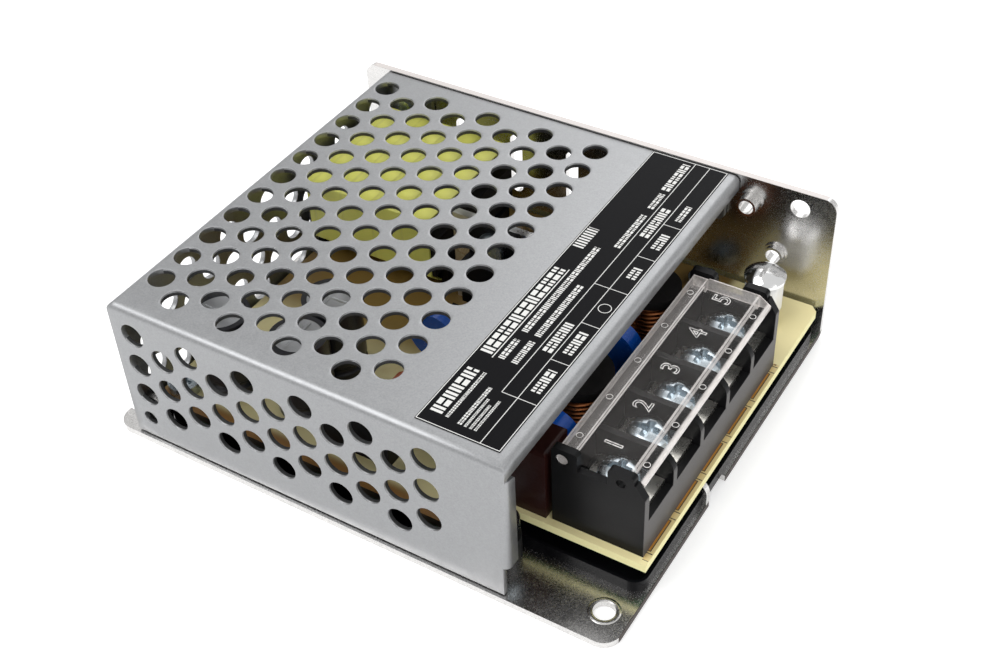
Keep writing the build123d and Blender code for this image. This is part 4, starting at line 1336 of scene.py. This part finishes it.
    def _tab(self, x: float, material: Material) -> Piece:
        """A tab with an extruded collar, hanging inside the chassis wall.

        Args:
            x: the tab's middle along X.
            material: the sheet's finish.

        Returns:
            The tab.
        """
        sheet = Sheet()
        hole_z, hole_radius = self.tab_hole
        half = self.tab_width / 2
        low, high = self.top - self.gauge / 2 - self.tab_drop, self.top - self.gauge / 2
        angle = np.linspace(0, 2 * np.pi, 49)
        ray = np.stack([np.cos(angle), np.sin(angle)], 1)
        reach_x = half / np.maximum(np.abs(ray[:, 0]), 1e-9)
        reach_z = np.where(ray[:, 1] > 0, high - hole_z, hole_z - low) / np.maximum(
            np.abs(ray[:, 1]), 1e-9
        )
        reach = np.minimum(reach_x, reach_z)
        depth, wall = self.collar
        radii = np.stack([reach, np.full_like(reach, hole_radius)])
        y_back = self.far
        y_front = self.far - self.gauge
        rings = [
            (radii[0], y_back),
            (radii[1], y_back),
            (radii[1], y_front - depth),
            (np.full_like(reach, wall), y_front - depth),
            (np.full_like(reach, wall), y_front),
            (radii[0], y_front),
            (radii[0], y_back),
        ]
        grid = np.stack(
            [
                np.column_stack(
                    [x + ray[:, 0] * radius, np.full_like(radius, y), hole_z + ray[:, 1] * radius]
                )
                for radius, y in rings
            ]
        )
        sheet.add_grid(grid, flip=True)
        return sheet.finished(f"cover_tab_{'rear' if x < 0 else 'front'}", material, 30.0)


@dataclass
class TerminalScrew:
    """A pan head screw with a combined slot and cross recess, its shank turned below.

    The slot has its half width and depth, the cross its half width, reach and depth, and the
    slopes are those of the slot's sides, the cross's sides and the cross's ends.
    """

    centre: Pair
    foot: float = 7.95
    seat: float = 16.05
    top: float = 18.65
    shank: float = 1.7
    head: float = 3.4
    thread_pitch: float = 0.6
    slot: Pair = (0.42, 1.25)
    cross: Triple = (0.55, 1.7, 1.5)
    crown: Pair = (0.95, 0.12)
    slopes: Triple = (0.12, 0.2, 0.5)
    thread_depth: float = 0.16
    point: float = 0.4
    point_share: float = 0.75
    axis_gap: float = 0.02
    recess_end: float = 2.9
    recess_rings: int = 30
    edge_rings: int = 7
    around: int = 120

    def build(self, name: str, material: Material) -> Piece:
        """Makes the screw.

        Args:
            name: the piece's name.
            material: its finish.

        Returns:
            The screw.
        """
        sheet = Sheet()
        self._head(sheet)
        self._shank(sheet)
        return sheet.finished(name, material, 32.0)

    def _head(self, sheet: Sheet) -> None:
        """The head's crown: over radius r and angle a its height is a dome less the recess.

        The dome falls with the fourth power of r. The slot and the cross are cut where the
        distance from their centre lines is under their half widths, with short sloping sides.

        Args:
            sheet: takes the crown.
        """
        recessed = np.linspace(self.axis_gap, self.recess_end, self.recess_rings)
        rounded = np.linspace(self.recess_end + 0.1, self.head, self.edge_rings)
        radius = np.concatenate([recessed, rounded])
        angle = np.linspace(0, 2 * np.pi, self.around + 1)
        r, a = np.meshgrid(radius, angle, indexing="ij")
        x, y = r * np.cos(a), r * np.sin(a)
        edge_fall, middle_fall = self.crown
        dome = self.top - edge_fall * (r / self.head) ** 4 - middle_fall * (r / self.head) ** 2
        slot_half, slot_depth = self.slot
        cross_half, cross_reach, cross_depth = self.cross
        slot_slope, cross_slope, end_slope = self.slopes
        slot_cut = slot_depth * np.clip((slot_half - np.abs(y)) / slot_slope + 0.5, 0, 1)
        arm = np.minimum(np.abs(x), np.abs(y))
        cross_cut = cross_depth * np.clip((cross_half - arm) / cross_slope + 0.5, 0, 1)
        cross_cut *= np.clip((cross_reach - r) / end_slope + 0.5, 0, 1)
        z = dome - np.maximum(slot_cut, cross_cut)
        grid = np.stack([self.centre[0] + x, self.centre[1] + y, z], -1)
        sheet.add_grid(grid)
        rim = np.stack([grid[-1], grid[-1]])
        rim[1, :, 2] = self.seat
        sheet.add_grid(rim)
        inner = self._drawn_in(rim[1], self.shank / self.head)
        sheet.add_grid(np.stack([rim[1], inner]))
        middle = np.repeat(grid[0].mean(0)[None], grid.shape[1], 0)
        sheet.add_grid(np.stack([middle, grid[0]]))

    def _drawn_in(self, ring: np.ndarray, share: float) -> np.ndarray:
        """Draws a ring of points in towards the screw's axis.

        Args:
            ring: the points.
            share: the share of their distance from the axis that stays.

        Returns:
            The new ring.
        """
        small = ring.copy()
        small[:, :2] = np.array(self.centre) + (small[:, :2] - np.array(self.centre)) * share
        return small

    def _shank(self, sheet: Sheet) -> None:
        """The threaded shank: its radius falls by the thread's depth once in each pitch.

        Args:
            sheet: takes the shank.
        """
        steps = int((self.seat - self.foot) / self.thread_pitch * 4)
        z = np.linspace(self.seat, self.foot + self.point, steps + 1)
        angle = np.linspace(0, 2 * np.pi, self.around + 1)
        height, a = np.meshgrid(z, angle, indexing="ij")
        turn = height / self.thread_pitch + a / (2 * np.pi)
        radius = self.shank - self.thread_depth * np.abs(2 * (turn % 1.0) - 1.0)
        radius[0] = self.shank
        grid = ring_grid(self.centre, radius, a, height)
        sheet.add_grid(grid)
        tip = np.repeat(grid[-1].mean(0)[None], grid.shape[1], 0)
        small = self._drawn_in(grid[-1], self.point_share)
        tip[:, 2] = small[:, 2] = self.foot
        sheet.add_grid(np.stack([grid[-1], small, tip]))


@dataclass
class CoilWinding:
    """A choke's winding: one closed ring whose outer face carries the turns of the wire."""

    centre: Pair
    inner: float
    outer: float
    low: float
    high: float
    turns: int = 9

    def build(self, name: str, material: Material) -> Piece:
        """Makes the ring: the outer radius rises and falls as a half sine over each turn.

        Args:
            name: the piece's name.
            material: its finish.

        Returns:
            The winding.
        """
        z = np.linspace(self.low, self.high, self.turns * 8 + 1)
        share = (z - self.low) / (self.high - self.low)
        wire = (self.high - self.low) / self.turns / 2
        radius = self.outer - wire + wire * np.abs(np.sin(np.pi * self.turns * share))
        outer = np.column_stack([radius, z])
        inner = np.array([[self.inner, self.high], [self.inner, self.low]])
        profile = np.concatenate([outer, inner, outer[:1]])
        sheet = Sheet()
        sheet.add_grid(turned(profile, self.centre), flip=True)
        return sheet.finished(name, material, 60.0)


@dataclass
class LidMarks:
    """The clear lid's raised numbers and the round marks that the mould's pins leave."""

    poles: tuple[float, ...]
    number_x: float = 39.3
    size: float = 4.3
    stroke: float = 0.09
    top: float = 23.0
    mark_radius: float = 0.52
    mark_rise: float = 0.06
    rear_x: float = 33.8
    front_x: float = 45.1
    front_drop: float = 0.66
    mark_shift: float = -0.85

    def build(self, strokes: Material) -> list[Piece]:
        """Makes one number and two marks over each pole, in the order of the poles.

        Args:
            strokes: their finish.

        Returns:
            The pieces, all of which ride on the lid.
        """
        made = []
        for number, y in enumerate(self.poles, start=1):
            made.append(self._number(number, y, strokes))
            place_y = y + self.mark_shift
            level = self.top - self.front_drop
            marks = (("rear", self.rear_x, self.top), ("front", self.front_x, level))
            for side, x, height in marks:
                made.append(self._mark(f"lid_mark_{side}_{number}", x, place_y, height, strokes))
        return made

    def _number(self, number: int, y: float, material: Material) -> Piece:
        """A numeral drawn as a raised outline, read from the terminal end.

        Args:
            number: the numeral.
            y: the pole's place along Y.
            material: its finish.

        Returns:
            The numeral as a mesh.
        """
        text = bpy.data.curves.new(f"lid_number_{number}", "FONT")
        text.body = str(number)
        text.size = self.size * MM
        text.fill_mode = "NONE"
        text.bevel_depth = self.stroke * MM
        text.bevel_resolution = 1
        text.resolution_u = 6
        text.align_x = "CENTER"
        text.align_y = "CENTER"
        source = linked("numeral_source", text)
        bpy.context.view_layer.update()
        mesh = bpy.data.meshes.new_from_object(
            source.evaluated_get(bpy.context.evaluated_depsgraph_get())
        )
        bpy.data.objects.remove(source)
        place = Vector((self.number_x, y, self.top)) * MM
        mesh.transform(Matrix.Translation(place) @ Matrix.Rotation(math.pi / 2, 4, "Z"))
        mesh.materials.clear()
        mesh.materials.append(material)
        mesh.shade_smooth()
        return linked(f"lid_number_{number}", mesh)

    def _mark(
        self, name: str, x: float, y: float, level: float, material: Material
    ) -> Piece:
        """A low round ring on the lid: a small circle of section, turned about an upright axis.

        Args:
            name: the piece's name.
            x: its place along X.
            y: its place along Y.
            level: the height that it stands on.
            material: its finish.

        Returns:
            The ring.
        """
        angle = np.linspace(0, 2 * np.pi, 9)
        radius = self.mark_radius + self.mark_rise * np.cos(angle)
        profile = np.column_stack([radius, level + self.mark_rise * np.sin(angle)])
        sheet = Sheet()
        sheet.add_grid(turned(profile, (x, y), 32))
        return sheet.finished(name, material, 40.0)


@dataclass
class HoleRim:
    """The low rolled rim that punching leaves around a mounting hole in the base."""

    centre: Pair
    radius: float
    level: float
    height: float = 0.07
    width: float = 0.8
    gap: float = 0.02

    def build(self, name: str, material: Material) -> Piece:
        """Makes the rim, whose height over the plate is a half sine across its width.

        Args:
            name: the piece's name.
            material: its finish.

        Returns:
            The rim.
        """
        share = np.linspace(0, 1, 9)
        radius = self.radius + self.gap + self.width * share
        profile = np.column_stack([radius, self.level + self.height * np.sin(np.pi * share)])
        closed = np.concatenate([profile, profile[:1]])
        sheet = Sheet()
        sheet.add_grid(turned(closed, self.centre, 64), flip=True)
        return sheet.finished(name, material, 70.0)


@dataclass
class Studio:
    """The floor, the lamps, the world and the camera.

    A lamp has its name, its place in metres, its side and its power.
    """

    eye: Triple = (108.57, -158.67, 180.29)
    right: Triple = (0.85473, 0.51779, -0.03641)
    back: Triple = (0.40881, -0.62830, 0.66190)
    lens: float = 52.78
    sky: float = 0.74
    floor_reach: float = 3.0
    floor_gap: float = 0.05
    floor_glow: float = 0.38
    lamps: tuple[tuple[str, Triple, float, float], ...] = (
        ("key", (-0.35, -0.30, 0.85), 0.7, 5.0),
        ("fill", (0.75, -0.25, 0.45), 0.6, 2.0),
        ("back", (-0.1, 0.8, 0.6), 0.7, 2.4),
    )

    def build(self) -> None:
        """Makes everything that isn't part of the object."""
        self._camera()
        self._floor()
        self._world()
        for lamp in self.lamps:
            self._lamp(*lamp)

    def _camera(self) -> None:
        """The camera at the photograph's own place and angle."""
        camera = bpy.data.cameras.new("camera")
        camera.lens = self.lens
        camera.sensor_width = 36.0
        camera.clip_start = 0.005
        right, back = Vector(self.right).normalized(), Vector(self.back).normalized()
        up = back.cross(right).normalized()
        turn = Matrix((right, up, back)).transposed().to_4x4()
        made = linked("camera", camera)
        made.matrix_world = Matrix.Translation(Vector(self.eye) * MM) @ turn
        bpy.context.scene.camera = made

    def _floor(self) -> None:
        """A wide pale floor just under the base, white to the camera and still shadowed."""
        mesh = bpy.data.meshes.new("floor")
        far = self.floor_reach
        corners = [(-far, -far, 0), (far, -far, 0), (far, far, 0), (-far, far, 0)]
        mesh.from_pydata(corners, [], [(0, 1, 2, 3)])
        graph = Graph("floor")
        rays = ("Is Camera Ray", "Is Glossy Ray", "Is Transmission Ray")
        camera, glossy, through = (graph.node("ShaderNodeLightPath", {}, {}, ray) for ray in rays)
        mesh.materials.append(
            graph.finish(
                Base_Color=(0.86, 0.86, 0.86),
                Roughness=0.9,
                Emission_Color=(1.0, 1.0, 1.0),
                Emission_Strength=camera.high(glossy).high(through) * self.floor_glow,
            )
        )
        floor = linked("floor", mesh)
        floor.location.z = -self.floor_gap * MM

    def _world(self) -> None:
        """A pale sky that is plain white where the camera, metal or glass sees it."""
        world = bpy.data.worlds.new("sky")
        world.use_nodes = True
        tree = world.node_tree
        tree.nodes.clear()
        path = tree.nodes.new("ShaderNodeLightPath")
        seen = path.outputs["Is Camera Ray"]
        for ray in ("Is Transmission Ray", "Is Glossy Ray"):
            either = tree.nodes.new("ShaderNodeMath")
            either.operation = "MAXIMUM"
            tree.links.new(seen, either.inputs[0])
            tree.links.new(path.outputs[ray], either.inputs[1])
            seen = either.outputs[0]
        strength = tree.nodes.new("ShaderNodeMapRange")
        strength.inputs["To Min"].default_value = self.sky
        strength.inputs["To Max"].default_value = 1.0
        tree.links.new(seen, strength.inputs["Value"])
        light = tree.nodes.new("ShaderNodeBackground")
        tree.links.new(strength.outputs[0], light.inputs["Strength"])
        output = tree.nodes.new("ShaderNodeOutputWorld")
        tree.links.new(light.outputs[0], output.inputs["Surface"])
        bpy.context.scene.world = world

    def _lamp(self, name: str, place: Triple, size: float, power: float) -> None:
        """A square soft lamp that faces the object.

        Args:
            name: the lamp's name.
            place: where it stands, in metres.
            size: its side in metres.
            power: its power in watts.
        """
        data = bpy.data.lights.new(name, "AREA")
        data.size = size
        data.energy = power
        lamp = linked(name, data)
        lamp.location = place
        lamp.rotation_euler = (-Vector(place)).to_track_quat("-Z", "Y").to_euler()


ZINC = PlatedMetal(
    "bright_zinc",
    (0.52, 0.58, 0.62),
    roughness=0.28,
    grain_size=0.3,
    grain_depth=0.003,
    blotch_size=3.0,
    blotch=0.06,
)
BLACK = MouldedPlastic("black_moulding", (0.006, 0.006, 0.0065), 0.34, gloss=0.09)
HOUSING = MouldedPlastic(
    "housing_moulding", (0.006, 0.006, 0.0065), 0.34, gloss=0.1, matt_front=47.22
)
COVER = PerforatedCover()
COVER_SHEET = PunchedSheet(
    COVER.top, COVER.near, COVER.rear, COVER.front, COVER.gauge, fold=COVER.bend * 2
)
TIN = PlatedMetal(
    "tin_plate",
    (0.68, 0.67, 0.66),
    roughness=0.24,
    grain_size=0.22,
    grain_depth=0.010,
    blotch_size=7.0,
    blotch=0.08,
    speckle=0.5,
    # base front edge: bare steel with painted shade
    sheared=(48.92, 1.25),
    # wall top edge: painted highlight
    pale_top=30.22,
)
LABEL_BARS = (
    PrintBar(-21.0, 2.3, 16.15, 2.1),
    PrintBar(-35.6, -24.8, 16.5, 2.1),
    PrintBar(-35.6, -24.8, 18.5, 0.6),
    PrintBar(-21.0, -16.0, 18.9, 1.1),
    PrintBar(-14.0, 10.0, 18.9, 1.1),
    PrintBar(-21.0, -15.3, 21.2, 1.1),
    PrintBar(-14.0, 0.0, 21.2, 1.1),
    PrintBar(11.4, 21.5, 21.6, 1.1),
    PrintBar(23.6, 28.4, 21.6, 1.1),
    PrintBar(29.4, 38.2, 21.5, 1.5),
    PrintBar(-36.0, -27.2, 20.9, 0.7),
    PrintBar(-36.0, -29.4, 21.9, 0.46),
    PrintBar(-36.0, -30.4, 22.8, 0.46),
    PrintBar(-36.0, -29.0, 23.6, 0.46),
    PrintBar(-16.4, -8.7, 24.2, 1.6),
    PrintBar(16.0, 25.0, 24.2, 1.6),
    PrintBar(-25.0, -19.5, 27.2, 1.6),
    PrintBar(-15.4, -9.6, 27.2, 1.6),
    PrintBar(5.2, 8.4, 27.3, 1.6),
    PrintBar(13.9, 18.3, 27.3, 1.6),
    PrintBar(22.5, 27.2, 27.3, 1.1),
)
LABEL = PrintedLabel(
    name="rating_print",
    centre=(21.7, 0.7),
    size=(14.6, 77.2),
    bars=LABEL_BARS,
    stripes=PrintBar(8.4, 14.3, 15.9, 2.0),
    underline=PrintBar(-21.4, 2.7, 17.6, 0.18),
    dividers=(
        (-27.15, 22.8),
        (-17.4, 25.55),
        (-7.75, 25.55),
        (1.6, 22.8),
        (11.2, 25.55),
        (20.8, 25.55),
    ),
    rows=((25.55, -40.0), (22.8, -27.15)),
    ring=(27.2, -3.1, 1.05),
)
CLEAR_LID = ClearMoulding(
    "clear_lid",
    lines=((34.75, 0.22, 0.6), (44.15, 0.26, 0.5), (46.15, 0.6, 0.75), (32.2, 0.35, 0.35)),
    rail=34.6,
    ends=(-26.7, 19.35),
)
GALVANISED = PlatedMetal(
    "galvanised_sheet",
    (0.345, 0.35, 0.358),
    roughness=0.42,
    grain_size=0.26,
    grain_depth=0.008,
    blotch_size=1.6,
    blotch=0.07,
    metallic=0.92,
    speckle=0.4,
    punched=COVER_SHEET,
)
COPPER = PlatedMetal(
    "choke_copper", (0.36, 0.13, 0.05), roughness=0.3, grain_size=0.3, grain_depth=0.002
)
ROTOR = PlatedMetal(
    "bright_rotor",
    (0.80, 0.80, 0.80),
    roughness=0.10,
    grain_size=0.3,
    grain_depth=0.002,
    blotch_size=2.0,
    blotch=0.03,
)
ALUMINIUM = PlatedMetal(
    "aluminium_sheet",
    (0.78, 0.78, 0.78),
    roughness=0.3,
    grain_size=0.4,
    grain_depth=0.003,
    blotch_size=5.0,
    blotch=0.05,
    scratches=Grain.ALONG_X,
)
BULK_SLEEVE = CanSleeve(
    "bulk_sleeve", ((-32.5, -27.0), (-17.5, -25.5), (-18.5, -15.0)), radius=5.0, top=22.75
)
OUTPUT_SLEEVE = CanSleeve("output_sleeve", ((13.5, 11.5), (13.5, 22.5)), radius=5.0, top=21.95)
LAMINATE = BoardLaminate("board_laminate", top=7.45, under=5.85, front=48.4, poles=POLES)
SCREW_NODES = ("cover_screws", "board_screws", "device_screws")
WASHER_NODES = tuple(f"clamp_washer_{number}" for number in range(1, len(POLES) + 1))
PACKAGE_NODES = ("bridge_rectifier", "switching_transistor", "output_diode", "optocoupler")


def coated(name: str, colour: Triple, size: float, depth: float, **more: float) -> MouldedPlastic:
    """The look of a dipped or painted coating, whose surface flows into broad low waves.

    Args:
        name: the finish's name.
        colour: its colour.
        size: the size of its relief in millimetres.
        depth: the depth of its relief in millimetres.
        more: its other fields.

    Returns:
        The finish.
    """
    settings = {"roughness": 0.3, **more}
    relief = {"relief": Relief.ORANGE_PEEL, "relief_size": size, "relief_depth": depth}
    return MouldedPlastic(name, colour, **relief, **settings)


FINISHES = (
    (BLACK, ("transformer_bobbin", *PACKAGE_NODES, "control_chip", "small_diodes")),
    (ZINC, SCREW_NODES + WASHER_NODES),
    (TIN, ("chassis",)),
    (
        MouldedPlastic("ferrite", (0.014, 0.013, 0.013), 0.5, relief_depth=0.03, gloss=0.2),
        ("transformer_core", "input_choke_core", "output_choke_core"),
    ),
    (
        coated("blue_dip", (0.004, 0.085, 0.46), 0.5, 0.05, roughness=0.25, coat=0.15),
        ("varistor", "y_capacitors"),
    ),
    (
        PlatedMetal("tinned_brass", (0.80, 0.78, 0.72), roughness=0.28, grain_size=0.3),
        ("terminal_contacts", "trimmer_leads", "component_leads"),
    ),
    (ROTOR, ("trimmer_rotor",)),
    (ALUMINIUM, ("heatsink",)),
    (HOUSING, ("terminal_housing",)),
    (WrappedTape("yellow_tape"), ("transformer_tape",)),
    (
        PlatedMetal("winding_copper", (0.48, 0.18, 0.06), roughness=0.35, grain_size=0.4),
        ("transformer_winding",),
    ),
    (CLEAR_LID, ("terminal_lid",)),
    (MouldedPlastic("tray_film", (0.004, 0.004, 0.005), 0.22, gloss=0.09), ("insulating_tray",)),
    (LAMINATE, ("circuit_board",)),
    (LABEL, ("rating_label",)),
    (MouldedPlastic("white_moulding", (0.84, 0.84, 0.82), 0.3), ("trimmer_body",)),
    (MouldedPlastic("black_nylon", (0.01, 0.01, 0.01), 0.45), ("board_spacers",)),
    (MouldedPlastic("grey_pad", (0.45, 0.45, 0.44), 0.7), ("diode_insulator",)),
    (
        coated("red_film", (0.022, 0.006, 0.005), 0.6, 0.05, roughness=0.35, gloss=0.25),
        ("x_capacitor",),
    ),
    (coated("orange_dip", (0.35, 0.08, 0.03), 0.5, 0.05, coat=0.1), ("snubber_capacitor",)),
    (coated("green_dip", (0.012, 0.05, 0.03), 0.5, 0.05, coat=0.1), ("thermistor",)),
    (coated("resistor_paint", (0.55, 0.42, 0.26), 0.4, 0.04), ("resistors",)),
    (MouldedPlastic("fuse_body", (0.70, 0.71, 0.68), 0.2, coat=0.4), ("fuse",)),
    (BULK_SLEEVE, ("bulk_capacitors",)),
    (OUTPUT_SLEEVE, ("output_capacitors",)),
)
CHOKES = {
    "input_choke": CoilWinding((24.5, -7.0), inner=3.32, outer=5.7, low=9.05, high=17.35),
    "output_choke": CoilWinding((25.2, 18.0), inner=2.88, outer=4.9, low=9.05, high=17.35),
}
FOOT_RIM = HoleRim((44.7, -35.3), radius=1.8, level=1.2)


class PowerSupply:
    """The whole object: new pieces for some plain nodes, and a finish for every node that stays."""

    def __init__(self, nodes: dict[str, Piece]) -> None:
        """Keeps the frame's nodes by name."""
        self.nodes = nodes

    def dress(self) -> None:
        """Gives each kept node its finish."""
        for look, names in FINISHES:
            finish = look.material()
            for name in names:
                mesh = self.nodes[name].data
                mesh.materials.clear()
                mesh.materials.append(finish)
                LOG.info("dressed %s with %s", name, finish.name)

    def place(
        self, pieces: list[Piece], body: str, slot: str, replaced: tuple[str, ...] = ()
    ) -> None:
        """Seats finished pieces on a body of the frame.

        Args:
            pieces: the pieces.
            body: the body that carries them.
            slot: not used.
            replaced: the nodes that they stand for.
        """
        for piece in pieces:
            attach(piece, body)
            if replaced:
                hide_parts(*replaced)
            LOG.info("%s rides on %s, %d faces", piece.name, body, len(piece.data.polygons))

    def build(self) -> None:
        """Makes the new pieces and seats them."""
        sheets = COVER.build(GALVANISED.material())
        self.place(sheets, "base", "galvanised_steel", ("cover",))
        zinc = bpy.data.materials[ZINC.name]
        for number, y in enumerate(POLES, start=1):
            screw = TerminalScrew((SCREW_X, y)).build(f"screw_{number}_turned", zinc)
            self.place([screw], f"screw_{number}", "zinc_steel", (f"terminal_screw_{number}",))
        copper = COPPER.material()
        for name, winding in CHOKES.items():
            piece = winding.build(f"{name}_turns", copper)
            self.place([piece], "base", "copper_wire", (f"{name}_winding",))
        # painted highlight for the lid's raised numbers and pin marks
        strokes = FrostedStroke("frosted_stroke").material()
        self.place(LidMarks(POLES).build(strokes), "lid", "clear_moulding")
        rim = FOOT_RIM.build("foot_hole_rim", bpy.data.materials[TIN.name])
        self.place([rim], "base", "tinned_steel")


def main() -> None:
    """Builds everything in order."""
    logging.basicConfig(level=logging.INFO, format="%(name)s %(message)s")
    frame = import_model()
    bpy.context.scene.view_settings.view_transform = "Standard"
    Studio().build()
    supply = PowerSupply(frame["nodes"])
    supply.dress()
    supply.build()


if __name__ == "__main__":
    main()
